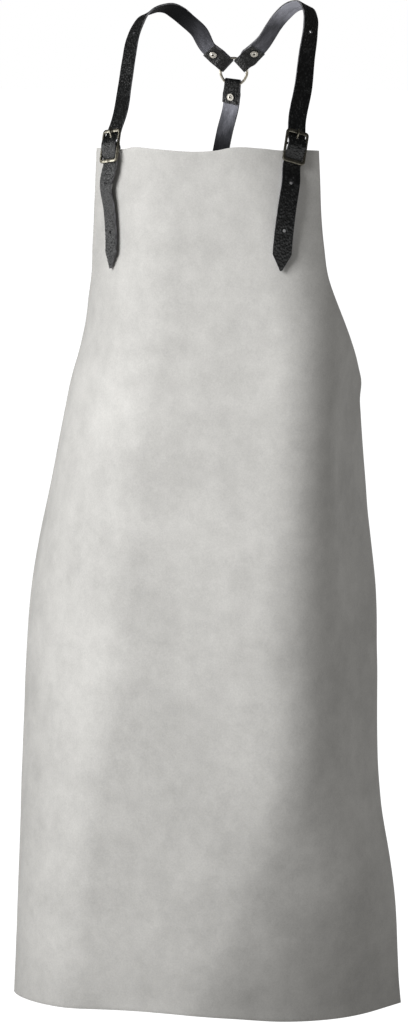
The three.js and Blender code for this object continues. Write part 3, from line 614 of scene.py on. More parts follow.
# rows of the noise, one for each edge
RIGHT_EDGE, LEFT_EDGE = 3.7, 8.1


def clear_selection():
    if bpy.context.object and bpy.context.object.mode != "OBJECT":
        bpy.ops.object.mode_set(mode="OBJECT")
    bpy.ops.object.select_all(action="DESELECT")


def flat_grid(name, columns, rows):
    clear_selection()
    bpy.ops.mesh.primitive_grid_add(x_subdivisions=columns, y_subdivisions=rows, size=2.0,
                                    location=(0, 0, 0))
    made = bpy.context.object
    made.name = made.data.name = name
    return made


def set_pattern(piece, spots):
    pattern = piece.data.uv_layers.active.data
    for loop in piece.data.loops:
        pattern[loop.index].uv = spots[loop.vertex_index]


apron = flat_grid("apron_leather", CELLS_ACROSS, CELLS_DOWN)
cut_spots = []
for v in apron.data.vertices:
    share_down = (1 - v.co.y) / 2
    top, hem = smooth_at(TOP_CUT, v.co.x)[0], smooth_at(HEM_CUT, v.co.x)[0]
    drop = top + (hem - top) * share_down
    half = smooth_at(PATTERN_EDGE, drop)[0]
    edge_row = RIGHT_EDGE if v.co.x > 0 else LEFT_EDGE
    half += WANDER * noise.noise(Vector((drop / WANDER_LENGTH, edge_row, 0)))
    cut_spots.append((v.co.x * half, drop))
    v.co = (v.co.x * half * MM, -drop * MM, 0)
set_pattern(apron, [(across * MM, -drop * MM) for across, drop in cut_spots])

# %% [markdown]
# ### Giving leather a wall
# A flat grid has no thickness. Solidify gives the wall, and gives the inner face and the cut edge their
# own finishes. A small bevel breaks the sharp edge, and faces that meet at a low angle shade smoothly.
# The modifiers are applied, so that a plain mesh is left to cut holes in.

# %% Wall helpers
EDGE_ANGLE, SMOOTH_ANGLE = math.radians(50), math.radians(42)


def choose_piece(piece):
    clear_selection()
    piece.select_set(True)
    bpy.context.view_layer.objects.active = piece


def apply_modifier(piece, kind, **settings):
    choose_piece(piece)
    modifier = piece.modifiers.new(kind.lower(), kind)
    for key, value in settings.items():
        setattr(modifier, key, value)
    bpy.ops.object.modifier_apply(modifier=modifier.name)


def break_edges(piece, width, segments, angle=EDGE_ANGLE):
    apply_modifier(piece, "BEVEL", width=width * MM, segments=segments, limit_method="ANGLE",
                   angle_limit=angle)


def shade_smoothly(piece, angle=SMOOTH_ANGLE):
    choose_piece(piece)
    bpy.ops.object.shade_smooth_by_angle(angle=angle)


def give_wall(piece, thickness, offset, edge):
    apply_modifier(piece, "SOLIDIFY", thickness=thickness * MM, offset=offset, use_even_offset=True,
                   material_offset=1, material_offset_rim=2)
    break_edges(piece, edge, 2)
    shade_smoothly(piece)


print("edges over", round(math.degrees(EDGE_ANGLE)), "degrees are broken")

# %% [markdown]
# ### Hang the apron
# Every spot now goes to its worn place, with a soft unevenness of about a millimetre, as thick leather
# never lies perfectly fair. A cloth simulation could hang it too, but the tables put it exactly where
# the solid is.

# %% Hang the apron
BROAD_RISE, SMALL_RISE, SUNK = 0.75, 0.18, 0.4
BODY_EDGE = 0.5


def uneven(across, drop):
    broad = noise.noise(Vector((across / 85, drop / 120, 1.3)))
    small = noise.noise(Vector((across / 30, drop / 38, 5.9)))
    return BROAD_RISE * broad + SMALL_RISE * small - SUNK


for v, (across, drop) in zip(apron.data.vertices, cut_spots):
    v.co = apron_place(across, drop, uneven(across, drop)) * MM
for finish in (outer_split, inner_split, cut_split):
    apron.data.materials.append(finish)
give_wall(apron, BODY_LEATHER, -1.0, BODY_EDGE)
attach(apron, "root")
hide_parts("apron_body")
print("apron faces", len(apron.data.polygons))

# %% [markdown]
# ## The strap harness
# The straps are cut from leather of one thickness, to one width, and only their loops on the ring are
# narrower. All the gaps between pieces that touch come from one value.

# %% Strap sizes
GAP = 0.3
STRAP_LEATHER, STRAP_WIDTH = 2.2, 22.0
RING_RADIUS, RING_WIRE, RING_LEAN = 16.2, 1.6, math.radians(9)
RING_CENTRE = Vector((0, 61, -88))
LOOP_WIDTH, LOOP_SLACK = 18.8, 0.25
# round the ring: angle from upright, lean to the front, twist at the tail, tail's end, rivet
LOOPS = {
    "right": (48, 12, 32, 43.0, 36.0),
    "left": (-46, 12, -25, 40.0, 32.4),
    "lower": (187, 0, 20, 39.0, 31.0),
}
print("straps", STRAP_WIDTH, "mm wide and", STRAP_LEATHER, "mm thick")

# %% [markdown]
# ### The runs of the straps
# A strap is a long flat strip that follows a path. Each row of a run gives the strap's middle and the
# direction of its width, so the strip can twist as it climbs from the ring, arches over and comes down
# to its buckle. There it weaves round the bar, and its free end hangs down the bib.

# %% Strap runs
# middle x, y, z and width direction x, y, z, from the ring to the buckle
RIGHT_RUN = [
    (43, 41.5, -48.5, 0.67, 0.7, -0.22),
    (54, 33, -34, 0.66, 0.71, -0.2),
    (65.5, 24, -21.5, 0.66, 0.68, -0.3),
    (82, 12.5, -10, 0.62, 0.69, -0.36),
    (98, 1.5, -9, 0.68, 0.6, -0.42),
    (105.5, -8.5, -20, 0.66, 0.56, -0.5),
    (108, -22, -36.5, 0.62, 0.55, -0.55),
    (107.8, -45, -68.5, 0.72, 0.51, -0.48),
    (108.5, -69, -101, 0.82, 0.47, -0.34),
]
LEFT_RUN = [
    (-38.5, 36, -39, 0.78, -0.38, 0.5),
    (-50, 26, -27, 0.78, -0.38, 0.5),
    (-59, 16, -18, 0.78, -0.36, 0.52),
    (-68, 7.5, -12.5, 0.58, -0.64, 0.5),
    (-77, 1, -12.5, 0.4, -0.85, 0.36),
    (-87, -5, -16.5, 0.42, -0.86, 0.28),
    (-94.5, -10, -21.5, 0.58, -0.8, 0.12),
    (-100.5, -17, -32.5, 0.73, -0.67, 0.13),
    (-103.8, -25, -44, 0.8, -0.53, 0.28),
    (-105, -45, -70, 0.82, -0.48, 0.31),
    (-105, -68, -102, 0.83, -0.46, 0.31),
]
# drop down the bib, sideways shift, lift off the leather, roll
RIGHT_END = [(36, -7, 6.5, 0), (66, -11.5, 8, 0), (106, -14.5, 6.5, 0), (138, -15.5, 4.5, 0)]
LEFT_END = [(40, 5, 7, -6), (72, 2.5, 4, -8), (104, 0.5, 3.2, -8), (139, 1.5, 3.2, -8)]
# along the buckle and off its plane, top to bottom
WEAVE = [
    (25, -4.4), (21, -3.2), (17.5, -2.5), (14.2, -1.8), (10, 0), (5.2, 3.4),
    (0, 5), (-5.2, 4.0), (-11, 1.6), (-15.2, -0.5), (-18.4, -1.8), (-22.5, -2.2),
]
print("strap runs:", len(RIGHT_RUN), "and", len(LEFT_RUN), "rows from ring to buckle")

# %% [markdown]
# ### Following a path
# The path is the same smooth curve as before, keyed by the length along the strap. At each place the
# direction of travel, the width and the face of the strap make a small set of axes.

# %% Strap paths
LOOK = 0.2


def strap_path(stations):
    rows, at = [], 0.0
    for i, (middle, width) in enumerate(stations):
        at += (middle - stations[i - 1][0]).length if i else 0.0
        rows.append((at, *middle, *width))
    return rows


def strap_axes(path, at):
    last = path[-1][0]
    here = smooth_at(path, at)
    ahead = Vector(smooth_at(path, min(at + LOOK, last))[:3])
    along = (ahead - Vector(smooth_at(path, max(at - LOOK, 0.0))[:3])).normalized()
    width = Vector(here[3:])
    width = (width - along * width.dot(along)).normalized()
    return Vector(here[:3]), along, width, along.cross(width)


print("a strap's axes are found over", 2 * LOOK, "mm")

# %% [markdown]
# ### Loops on the ring
# A strap's end goes round the ring's wire and comes back on itself, and a rivet holds the two layers
# together. The loop is a half circle with two near-parallel layers behind it, which twist a little
# between the ring and the tail, as the strap turns towards its run.

# %% Ring loops
X_AXIS = Vector((1, 0, 0))
ring_out = Vector((0, math.cos(RING_LEAN), math.sin(RING_LEAN)))
ring_up = Vector((0, -math.sin(RING_LEAN), math.cos(RING_LEAN)))


def ring_loop(angle, lean, twist, tail, rivet):
    turn, lean = math.radians(angle), math.radians(lean)
    radial = ring_up * math.cos(turn) + X_AXIS * math.sin(turn)
    tangent = ring_out.cross(radial)
    away = radial * math.cos(lean) - ring_out * math.sin(lean)
    outward = ring_out * math.cos(lean) + radial * math.sin(lean)
    chord = math.sqrt(RING_RADIUS ** 2 - (LOOP_WIDTH / 2) ** 2)
    wrap = RING_WIRE + GAP + LOOP_SLACK + STRAP_LEATHER / 2
    lap = STRAP_LEATHER / 2 + GAP / 2

    def station(far, off):
        spin = Matrix.Rotation(math.radians(twist) * ease(chord, tail, far), 3, away)
        middle = RING_CENTRE + radial * chord + away * (far - chord) + (spin @ outward) * off
        return middle, spin @ tangent

    # along the loop from its tail, and off its middle plane
    reach = [(tail, lap), (rivet, lap), (rivet - 4, lap), (rivet - 5.4, lap),
             (rivet - 7, lap + 0.4), (rivet - 9, wrap - 0.6), (rivet - 11, wrap)]
    spots = [(far, -off) for far, off in reach]
    for step in range(9):
        bend = math.radians(-90 + 22.5 * step)
        spots.append((chord - wrap * math.cos(bend), wrap * math.sin(bend)))
    spots += reach[::-1]
    fastened, across = station(rivet, 0)
    return [station(far, off) for far, off in spots], (fastened, away.cross(across))


print("loops:", list(LOOPS))

# %% [markdown]
# ### Where a buckle sits
# A buckle stands on the bib's top edge with its bar just above it and leans back with the strap. Its
# width, its length and its face are the axes for everything that belongs to it.

# %% Buckle axes
STRAP_PLACE, BAR_RISE, BAR_STAND = 114.0, 5.2, 2.6
SIDES = {
    "right": dict(hand=1, lean=(0.07, 0.38, 0.92), yaw=0, slant=-0.08, run=RIGHT_RUN, end=RIGHT_END),
    "left": dict(hand=-1, lean=(0.06, 0.3, 0.95), yaw=2, slant=0.08, run=LEFT_RUN, end=LEFT_END),
}


def buckle_axes(hand, lean, yaw):
    place, side, up, out = apron_axes(hand * STRAP_PLACE, 0)
    bar = place + up * BAR_RISE + out * BAR_STAND
    along = Vector(lean).normalized()
    face = Matrix.Rotation(math.radians(yaw), 3, "Z") @ out
    face = (face - along * face.dot(along)).normalized()
    return {"bar": bar, "along": along, "face": face, "width": along.cross(face),
            "place": place, "side": side, "up": up, "out": out}


def on_buckle(buckle, along, off):
    return buckle["bar"] + buckle["along"] * along + buckle["face"] * off


for name, side in SIDES.items():
    side["buckle"] = buckle_axes(side["hand"], side["lean"], side["yaw"])
    print(name, "bar at", [round(v, 1) for v in side["buckle"]["bar"]], "mm")

# %% [markdown]
# ### The way of a shoulder strap
# A shoulder strap is one long piece: its loop on the ring, its arched run, its weave through the buckle
# and its free end on the bib. The four parts are strung together into one path, so the strap bends
# fairly all the way.

# %% Shoulder paths
def shoulder_path(loop, run, buckle, hand, free_end):
    stations = list(loop)
    stations += [(Vector(row[:3]), Vector(row[3:])) for row in run]
    stations += [(on_buckle(buckle, along, off), buckle["width"]) for along, off in WEAVE]
    for drop, shift, lift, roll in free_end:
        place, side, up, out = apron_axes(hand * (STRAP_PLACE + shift), drop)
        stations.append((place + out * lift, Matrix.Rotation(math.radians(roll), 3, up) @ side))
    return strap_path(stations)


def nearest_on(path, point):
    steps = [0.5 * i for i in range(int(path[-1][0] * 2) + 1)]
    return min(steps, key=lambda at: (Vector(smooth_at(path, at)[:3]) - point).length)


for name, side in SIDES.items():
    side["loop"], side["rivet"] = ring_loop(*LOOPS[name])
    side["path"] = shoulder_path(side["loop"], side["run"], side["buckle"], side["hand"], side["end"])
    print("strap length", round(side["path"][-1][0]), "mm")

# %% [markdown]
# ### Laying a strap
# Like the apron, a strap is a flat grid laid along its path and given a wall. The grid's normals face
# the grain side, so the first finish is the grain, the second the flesh and the third the cut edge.
# The strap is cut narrower where it loops on the ring, and its free end is cut to a point.

# %% Lay a strap
STRAP_STEP, STRAP_CELLS, STRAP_EDGE = 1.5, 8, 0.45
# off the ring: narrow up to the first, full width from the second
NARROW_TO, FULL_FROM = 4, 12
TIP_LENGTH, TIP_HALF = 19.0, 1


def lay_strap(name, path, width, leather, tip=0.0, grain=1, flesh="plain"):
    length = path[-1][0]
    strip = flat_grid(name, STRAP_CELLS, round(length / STRAP_STEP))
    axes, spots = {}, []
    for v in strip.data.vertices:
        at = length * (v.co.y + 1) / 2
        key = round(at, 3)
        if key not in axes:
            axes[key] = strap_axes(path, at)
        middle, _, across, _ = axes[key]
        off_ring = (middle - RING_CENTRE).length
        near_ring = 1 - ease(RING_RADIUS + NARROW_TO, RING_RADIUS + FULL_FROM, off_ring)
        half = width / 2 - near_ring * (STRAP_WIDTH - LOOP_WIDTH) / 2
        if length - at < tip:
            half = TIP_HALF + (half - TIP_HALF) * (length - at) / tip
        spots.append((v.co.x * half * MM, at * MM))
        v.co = (middle - across * (grain * v.co.x * half)) * MM
    set_pattern(strip, spots)
    for finish in (grain_black, flesh_sides[flesh], edge_black):
        strip.data.materials.append(finish)
    give_wall(strip, leather, 0.0, STRAP_EDGE)
    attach(strip, "root")
    return strip


straps = {}
for name, side in SIDES.items():
    straps[name] = lay_strap(f"shoulder_strap_{name}_leather", side["path"], STRAP_WIDTH, STRAP_LEATHER,
                             TIP_LENGTH, flesh=name)
    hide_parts(f"shoulder_strap_{name}")
print("laid", [strap.name for strap in straps.values()])

# %% [markdown]
# ### Punching the holes
# The holes are punched with a round tool after the strap is cut. A cutter of short round pins is taken
# away from the strap, which leaves clean walls. The hole on the tongue has stretched a little.

# %% Punch the holes
HOLE_RADIUS, STRETCHED = 2.0, 0.3
PIN_LENGTH, PIN_SIDES = 9, 28
# from the fastened hole, up the strap and down
HOLES = (-155, 0, 57, 114)
# along the buckle and off its plane
FASTENED = (7.8, 1.4)


def join_to(whole, parts):
    clear_selection()
    for part in (whole, *parts):
        part.select_set(True)
    bpy.context.view_layer.objects.active = whole
    bpy.ops.object.join()


def cut_away(piece, cutter):
    apply_modifier(piece, "BOOLEAN", object=cutter, operation="DIFFERENCE", solver="EXACT")
    bpy.data.objects.remove(cutter)
    shade_smoothly(piece)


def pin(place, direction, radius):
    clear_selection()
    turn = direction.to_track_quat("Z", "Y").to_euler()
    bpy.ops.mesh.primitive_cylinder_add(vertices=PIN_SIDES, radius=radius * MM, depth=PIN_LENGTH * MM,
                                        location=place * MM, rotation=turn)
    made = bpy.context.object
    made.data.materials.append(edge_black)
    return made


for name, side in SIDES.items():
    path = side["path"]
    fastened = nearest_on(path, on_buckle(side["buckle"], *FASTENED))
    pins = []
    for hole in HOLES:
        middle, _, _, face = strap_axes(path, fastened + hole)
        pins.append(pin(middle, face, HOLE_RADIUS + (STRETCHED if hole == 0 else 0.0)))
    join_to(pins[0], pins[1:])
    cut_away(straps[name], pins[0])
    print(straps[name].name, len(straps[name].data.polygons), "faces")

# %% [markdown]
# ### Waist strap
# The waist strap goes round the back and is lapped inside the two waist corners. It is hidden behind
# the bib in the picture, so it is plain. Its middle part lies level; its ends follow the inside of the
# apron.

# %% Waist strap
Z_AXIS = Vector((0, 0, 1))
WAIST_HEIGHT, WAIST_LAP = -466.0, 48.0
# middle x and y, from the right flank to the middle of the back
WAIST_RUN = [(150, 28), (112, 48), (60, 56), (0, 58)]
# shares of the lap, from its inner end to the edge of the apron
LAPS = (1, 0.75, 0.5, 0.25, 0.06)


def lapped(hand, short):
    drop = BIB_TOP - WAIST_HEIGHT
    edge = smooth_at(PATTERN_EDGE, drop)[0]
    place, _, up, out = apron_axes(hand * (edge - short * WAIST_LAP), drop)
    return place - out * (BODY_LEATHER + 3 * GAP + STRAP_LEATHER / 2), up


stations = [lapped(-1, short) for short in LAPS]
stations += [(Vector((-x, y, WAIST_HEIGHT)), Z_AXIS) for x, y in WAIST_RUN]
stations += [(Vector((x, y, WAIST_HEIGHT)), Z_AXIS) for x, y in WAIST_RUN[-2::-1]]
stations += [lapped(1, short) for short in LAPS[::-1]]
waist_path = strap_path(stations)
waist_strap = lay_strap("waist_strap_leather", waist_path, STRAP_WIDTH, STRAP_LEATHER, grain=-1)
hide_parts("waist_strap")
print("waist strap", round(waist_path[-1][0]), "mm")

# %% [markdown]
# ### Back strap
# The back strap hangs from the ring and its lower end loops round the waist strap, where a rivet closes
# it. Only its top shows above the bib. Its loop is made like those on the ring, but round a flat strap.

# %% Back strap
WAIST_LOOP, WAIST_DEPTH, LOOP_RIVET = -60.0, 60.0, 18
# middle x, y, z and width direction x, y
BACK_RUN = [(-12.5, 69, -160, -0.94, 0.34), (-35, 68, -290, -0.98, 0.17)]

lower_loop, lower_rivet = ring_loop(*LOOPS["lower"])
loop_at = nearest_on(waist_path, Vector((WAIST_LOOP, WAIST_DEPTH, WAIST_HEIGHT)))
crossing, _, _, inward = strap_axes(waist_path, loop_at)
back_out = -inward
back_width = back_out.cross(-Z_AXIS)
wrap, lap = STRAP_LEATHER + GAP + LOOP_SLACK, (STRAP_LEATHER + GAP) / 2
half = STRAP_WIDTH / 2 + GAP
# above the middle of the waist strap, and off its plane
reach = [(half + 25, lap), (half + LOOP_RIVET, lap), (half + 12, lap), (half + 9.6, lap),
         (half + 7, lap + 0.3), (half + 3, wrap - 0.3), (half, wrap)]
spots = list(reach)
for step in range(9):
    bend = math.radians(90 - 22.5 * step)
    spots.append((-half - wrap * math.cos(bend), wrap * math.sin(bend)))
spots += [(rise, -off) for rise, off in reach[::-1]]
stations = list(lower_loop) + [(Vector(row[:3]), Vector((*row[3:], 0))) for row in BACK_RUN]
stations += [(crossing + Z_AXIS * rise + back_out * off, back_width) for rise, off in spots]
back_path = strap_path(stations)
back_strap = lay_strap("back_strap_leather", back_path, STRAP_WIDTH, STRAP_LEATHER, flesh="back")
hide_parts("back_strap")
back_rivet = crossing + Z_AXIS * (half + LOOP_RIVET)
print("back strap", round(back_path[-1][0]), "mm")

# %% [markdown]
# ### Chapes
# A chape is the short folded strap that holds a buckle. It goes round the buckle's bar and down behind
# the bib, where one rivet holds both layers. The bar leans and the bib does not, so the chape turns
# slowly from the one to the other, and it stands clear of the curved bib.

# %% Chape paths
CHAPE_LEATHER, CHAPE_CLEAR = 1.6, 0.3
BUCKLE_BAR = 1.5


def chape_stations(buckle, hand, slant):
    first = BODY_LEATHER + 2 * GAP + CHAPE_CLEAR + CHAPE_LEATHER / 2
    second = first + CHAPE_LEATHER + GAP
    wrap = BUCKLE_BAR + GAP + LOOP_SLACK / 2 + CHAPE_LEATHER / 2

    def behind(drop, depth):
        place, side, _, out = apron_axes(hand * (STRAP_PLACE + slant * drop), drop)
        return place - out * depth, side

    def above(height, depth, turned):
        place = buckle["place"] + buckle["up"] * height - buckle["out"] * depth
        return place, buckle["width"].lerp(buckle["side"], turned).normalized()

    width = buckle["width"]
    fore = (buckle["out"] - width * buckle["out"].dot(width)).normalized()
    rise = fore.cross(width)
    # up the inside of the bib, round the bar and down again
    stations = [behind(46, first), behind(24, first), behind(7, first), behind(2, first)]
    stations += [above(1.2, first, 0.25), above(2.3, 1.4, 0.1)]
    for step in range(7):
        bend = math.radians(-110 + 37.5 * step)
        round_bar = fore * (wrap * math.cos(bend)) + rise * (wrap * math.sin(bend))
        stations.append((buckle["bar"] + round_bar, width))
    stations += [above(5.6, 2.8, 0.0), above(2.6, 5, 0.4), behind(3, second), behind(8, second)]
    stations += [behind(24, second), behind(46, second)]
    return stations


for name, side in SIDES.items():
    side["chape"] = strap_path(chape_stations(side["buckle"], side["hand"], side["slant"]))
    print("chape length", round(side["chape"][-1][0]), "mm")

# %% [markdown]
# The chapes are laid like the straps, with the grain on the outside of the fold. A slot for the tongue
# is cut through the fold with a block, as a maker cuts it with a slot punch.

# %% Chapes
CHAPE_WIDTH = 13.0
SLOT_WIDTH, SLOT_LENGTH = 5.4, 16
SLOT_MIDDLE = Vector((0, 3, 2))


def slot_cutter(buckle):
    clear_selection()
    bpy.ops.mesh.primitive_cube_add(size=1.0)
    cutter = bpy.context.object
    turn = Matrix((buckle["width"], buckle["along"], buckle["face"])).transposed().to_4x4()
    size = Matrix.Diagonal((SLOT_WIDTH * MM, SLOT_LENGTH * MM, SLOT_LENGTH * MM, 1))
    shape = Matrix.Translation(SLOT_MIDDLE * MM) @ size
    cutter.data.transform(Matrix.Translation(buckle["bar"] * MM) @ turn @ shape)
    cutter.data.materials.append(edge_black)
    return cutter


for name, side in SIDES.items():
    chape = lay_strap(f"chape_{name}_leather", side["chape"], CHAPE_WIDTH, CHAPE_LEATHER, grain=-1)
    cut_away(chape, slot_cutter(side["buckle"]))
    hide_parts(f"chape_{name}")
    print(chape.name, len(chape.data.polygons), "faces")

# %% [markdown]
# ## Hardware
# The metal pieces are small, so they are modelled once at the origin, in millimetres made metres, and
# copied to their places. In edit mode an operator acts on all that is selected, so one helper selects
# faces by a test, and another selects a whole mesh and turns it.

# %% Modelling helpers
def edit_faces(piece, test):
    choose_piece(piece)
    for part in (*piece.data.vertices, *piece.data.edges):
        part.select = False
    for face in piece.data.polygons:
        face.select = bool(test(face))
        if face.select:
            for corner in face.vertices:
                piece.data.vertices[corner].select = True
    bpy.ops.object.mode_set(mode="EDIT")
    bpy.ops.mesh.select_mode(type="FACE")


def edit_turned(angle, axis):
    bpy.ops.object.mode_set(mode="EDIT")
    bpy.ops.mesh.select_all(action="SELECT")
    bpy.ops.transform.rotate(value=angle, orient_axis=axis, center_override=(0, 0, 0))


def leave_edit():
    bpy.ops.object.mode_set(mode="OBJECT")


print("helpers for modelling ready")

# %% [markdown]
# ### Placing a finished piece
# A finished pattern is copied, each copy with its own mesh. The copy is moved onto the axes of its
# place, gets its metal, and takes the place of its solid.

# %% Placing helpers
def place_mesh(piece, origin, x_axis, y_axis, z_axis):
    turn = Matrix((x_axis, y_axis, z_axis)).transposed().to_4x4()
    piece.data.transform(Matrix.Translation(origin * MM) @ turn)
    piece.data.update()


def copy_of(piece, name):
    made = piece.copy()
    made.data = piece.data.copy()
    made.name = made.data.name = name
    bpy.context.scene.collection.objects.link(made)
    return made


def dress(piece, finish, node):
    piece.data.materials.clear()
    piece.data.materials.append(finish)
    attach(piece, "root")
    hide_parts(node)


print("helpers for placing ready")

# %% [markdown]
# ### Buckle frame
# The frame is a flat plate with round corners and one big window. It starts as a plane: its corners
# are bevelled round, an inset marks the window, the window's face goes, and the plate is extruded.
# A last bevel rounds the edges. A box with a hole cut out would need more cleaning.

# %% Buckle frame
BUCKLE_WIDTH, BUCKLE_HEIGHT, BUCKLE_PLATE = 28.4, 40.4, 3.0
BUCKLE_SIDE, BUCKLE_END, BUCKLE_CORNER = 2.8, 4.4, 4.5
FRAME_DROP, FRAME_STAND, FRAME_EDGE = 2.3, 1.5, 0.8

clear_selection()
bpy.ops.mesh.primitive_plane_add(size=1.0)
buckle_frame = bpy.context.object
buckle_frame.name = "buckle_frame_pattern"
bpy.ops.object.mode_set(mode="EDIT")
bpy.ops.transform.resize(value=(BUCKLE_WIDTH * MM, BUCKLE_HEIGHT * MM, 1.0))
bpy.ops.mesh.select_all(action="SELECT")
bpy.ops.mesh.bevel(offset=BUCKLE_CORNER * MM, segments=6, affect="VERTICES")
bpy.ops.mesh.select_all(action="SELECT")
bpy.ops.mesh.inset(thickness=BUCKLE_SIDE * MM)
window = (BUCKLE_HEIGHT - 2 * BUCKLE_END) / (BUCKLE_HEIGHT - 2 * BUCKLE_SIDE)
bpy.ops.transform.resize(value=(1.0, window, 1.0))
bpy.ops.mesh.delete(type="FACE")
bpy.ops.mesh.select_all(action="SELECT")
bpy.ops.mesh.extrude_region_move(TRANSFORM_OT_translate={"value": (0, 0, BUCKLE_PLATE * MM)})
bpy.ops.mesh.select_all(action="SELECT")
bpy.ops.transform.translate(value=(0, -FRAME_DROP * MM, (FRAME_STAND - BUCKLE_PLATE / 2) * MM))
bpy.ops.mesh.normals_make_consistent(inside=False)
leave_edit()
break_edges(buckle_frame, FRAME_EDGE, 3)
print("frame", [round(v / MM, 1) for v in buckle_frame.dimensions])

# %% [markdown]
# ### Centre bar
# The strap bends round a bar across the middle of the frame. The bar is a cylinder whose ends are
# pressed a little thinner where they meet the sides. Joined to the frame it makes one piece, as the
# real frame is cast in one.

# %% Centre bar
PRESSED, PRESSED_RIM = 0.96, 0.25

clear_selection()
bpy.ops.mesh.primitive_cylinder_add(vertices=24, radius=BUCKLE_BAR * MM,
                                    depth=(BUCKLE_WIDTH - BUCKLE_SIDE) * MM)
bar = bpy.context.object
edit_turned(math.pi / 2, "Y")
leave_edit()
edit_faces(bar, lambda face: abs(face.normal.x) > 0.9)
bpy.ops.mesh.inset(thickness=PRESSED_RIM * MM)
bpy.ops.transform.resize(value=(1.0, PRESSED, PRESSED))
leave_edit()
join_to(buckle_frame, [bar])
shade_smoothly(buckle_frame, math.radians(35))
print("buckle frame faces", len(buckle_frame.data.polygons))

# %% [markdown]
# ### Tongue
# The tongue is a wire that goes from the bar through a hole of the strap and lies on the top bar. A
# circle extruded from row to row makes the wire, thinner towards its tip; a curve with a round bevel
# would do as well, but the rows give each place its own thickness.

# %% Tongue wire
TONGUE_WIRE, TIP_EDGE = 1.1, 0.3
# along the buckle, off its plane, share of the full thickness
TONGUE_WAY = [
    (2.4, 1.2, 1.0), (5, 0.8, 1.0), (7, 1.1, 1.0), (9, 2.1, 1.0), (11, 3.4, 1.0),
    (13.2, 4.4, 1.0), (15, 4.6, 0.96), (16.8, 4.5, 0.9), (18.4, 4.3, 0.8), (19.6, 4.1, 0.66),
]

clear_selection()
bpy.ops.mesh.primitive_circle_add(vertices=14, radius=TONGUE_WIRE * MM, fill_type="NGON")
tongue = bpy.context.object
tongue.name = "buckle_tongue_pattern"
edit_turned(-math.pi / 2, "X")
bpy.ops.transform.translate(value=(0, TONGUE_WAY[0][0] * MM, TONGUE_WAY[0][1] * MM))
for before, after in zip(TONGUE_WAY, TONGUE_WAY[1:]):
    step = (0, (after[0] - before[0]) * MM, (after[1] - before[1]) * MM)
    bpy.ops.mesh.extrude_region_move(TRANSFORM_OT_translate={"value": step})
    thin = after[2] / before[2]
    bpy.ops.transform.resize(value=(thin, thin, thin))
bpy.ops.mesh.select_all(action="SELECT")
bpy.ops.mesh.normals_make_consistent(inside=False)
leave_edit()
break_edges(tongue, TIP_EDGE, 2, math.radians(60))
print("tongue wire faces", len(tongue.data.polygons))

# %% [markdown]
# The wire's end is bent into an eye round the bar. A ring a little wider than its wire stands for the
# bent end, and is joined to the tongue.

# %% Tongue eye
EYE_WIRE, EYE_WIDTH = 0.95, 1.25

clear_selection()
bpy.ops.mesh.primitive_torus_add(major_radius=(BUCKLE_BAR + GAP + EYE_WIRE) * MM,
                                 minor_radius=EYE_WIRE * MM, major_segments=28, minor_segments=12)
eye = bpy.context.object
edit_turned(math.pi / 2, "Y")
bpy.ops.transform.resize(value=(EYE_WIDTH, 1.0, 1.0))
leave_edit()
join_to(tongue, [eye])
shade_smoothly(tongue, math.radians(50))
print("tongue", [round(v / MM, 1) for v in tongue.dimensions])

# %% [markdown]
# ### Both buckles
# The two buckles are the same bought part, so each is a copy with its own mesh, moved onto the axes
# that were found for it on the bib.

# %% Both buckles to their places
for name, side in SIDES.items():
    buckle = side["buckle"]
    axes = (buckle["bar"], buckle["width"], buckle["along"], buckle["face"])
    for pattern, kind in ((buckle_frame, "frame"), (tongue, "tongue")):
        piece = copy_of(pattern, f"buckle_{kind}_{name}_metal")
        place_mesh(piece, *axes)
        dress(piece, buckle_metal, f"buckle_{kind}_{name}")
        print("placed", piece.name)
bpy.data.objects.remove(buckle_frame)
bpy.data.objects.remove(tongue)

# %% [markdown]
# ### Rivets
# A tubular rivet has a domed cap on one side; on the other its tube is rolled outwards over a washer
# and leaves a small dark hole. A cylinder is the start: each end grows out of its end face, one
# extrusion at a time. A turned profile would do as well, but this keeps the shank and both ends one.

# %% Rivet
RIVET_CAP, RIVET_WASHER, RIVET_SHANK = 4.6, 4.4, 1.6
STRAP_GRIP = 2 * STRAP_LEATHER + 3.5 * GAP
# rise of each step, and its width as a share of the one before
CAP_STEPS = [
    (0.0, RIVET_CAP / RIVET_SHANK), (0.5, 1.0), (0.35, 0.94), (0.3, 0.84), (0.2, 0.7), (0.1, 0.45),
]
ROLLED_STEPS = [
    (0.0, RIVET_WASHER / RIVET_SHANK), (-0.35, 1.0), (-0.2, 0.95), (-0.05, 0.62), (-0.32, 0.86),
    (-0.12, 0.8), (0.1, 0.78), (0.5, 0.86), (1.3, 0.96),
]

clear_selection()
bpy.ops.mesh.primitive_cylinder_add(vertices=40, radius=RIVET_SHANK * MM,
                                    depth=(STRAP_GRIP + 2 * GAP) * MM)
rivet = bpy.context.object
rivet.name = "rivet_pattern"


def grow(piece, test, steps):
    edit_faces(piece, test)
    for lift, share in steps:
        bpy.ops.mesh.extrude_region_move(TRANSFORM_OT_translate={"value": (0, 0, lift * MM)})
        bpy.ops.transform.resize(value=(share, share, 1.0))
    leave_edit()


grow(rivet, lambda face: face.normal.z > 0.9, CAP_STEPS)
grow(rivet, lambda face: face.normal.z < -0.9 and face.center.z < 0, ROLLED_STEPS)
edit_faces(rivet, lambda face: True)
bpy.ops.mesh.remove_doubles(threshold=1e-6)
bpy.ops.mesh.normals_make_consistent(inside=False)
leave_edit()
shade_smoothly(rivet, math.radians(38))
print("rivet", [round(v / MM, 2) for v in rivet.dimensions])

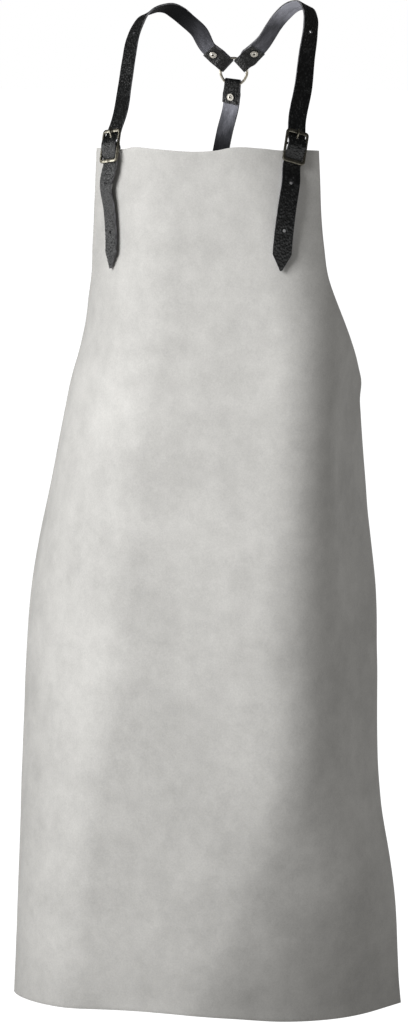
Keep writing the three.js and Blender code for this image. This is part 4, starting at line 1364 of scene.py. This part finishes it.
# %% [markdown]
# ### Setting the rivets
# The rivets in the straps grip two layers of strap. Those in the bib grip the body and two layers of
# chape, so each copy's ends are moved apart to suit its grip.

# %% Rivets to their places
RIVET_DROP = 31.0
BIB_GRIP = BODY_LEATHER + 3 * GAP + CHAPE_CLEAR + 2 * CHAPE_LEATHER


def set_rivet(node, place, outward, grip):
    piece = copy_of(rivet, f"{node}_metal")
    longer = (grip - STRAP_GRIP) / 2
    for v in piece.data.vertices:
        v.co.z += math.copysign(longer * MM, v.co.z)
    across = outward.orthogonal().normalized()
    place_mesh(piece, place, across, outward.cross(across), outward)
    dress(piece, rivet_metal, node)
    print("set", piece.name)


for name, side in SIDES.items():
    set_rivet(f"ring_rivet_{name}", *side["rivet"], STRAP_GRIP)
    across = side["hand"] * (STRAP_PLACE + side["slant"] * RIVET_DROP)
    place, _, _, out = apron_axes(across, RIVET_DROP)
    set_rivet(f"bib_rivet_{name}", place - out * (BIB_GRIP / 2), out, BIB_GRIP)
set_rivet("ring_rivet_lower", *lower_rivet, STRAP_GRIP)
set_rivet("back_strap_rivet", back_rivet, back_out, STRAP_GRIP)
bpy.data.objects.remove(rivet)

# %% [markdown]
# ### Ring
# The ring is bent from wire and welded shut. A torus gives the wire; a few of its sections are scaled
# to make the flattened weld, which sits hidden inside the back strap's loop.

# %% Ring
# share of the half circle to each side, thickness
WELD = ((0.06, 1.06), (0.025, 0.9))

clear_selection()
bpy.ops.mesh.primitive_torus_add(major_radius=RING_RADIUS * MM, minor_radius=RING_WIRE * MM,
                                 major_segments=72, minor_segments=16)
ring = bpy.context.object
ring.name = ring.data.name = "back_ring_metal"
for share, thick in WELD:
    edit_faces(ring, lambda face: abs(math.atan2(face.center.x, -face.center.y)) < share * math.pi)
    bpy.ops.transform.resize(value=(1.0, 1.0, thick))
    leave_edit()
place_mesh(ring, RING_CENTRE, X_AXIS, ring_up, X_AXIS.cross(ring_up))
choose_piece(ring)
bpy.ops.object.shade_smooth()
dress(ring, ring_metal, "back_ring")
print("ring", [round(v / MM, 1) for v in ring.dimensions])
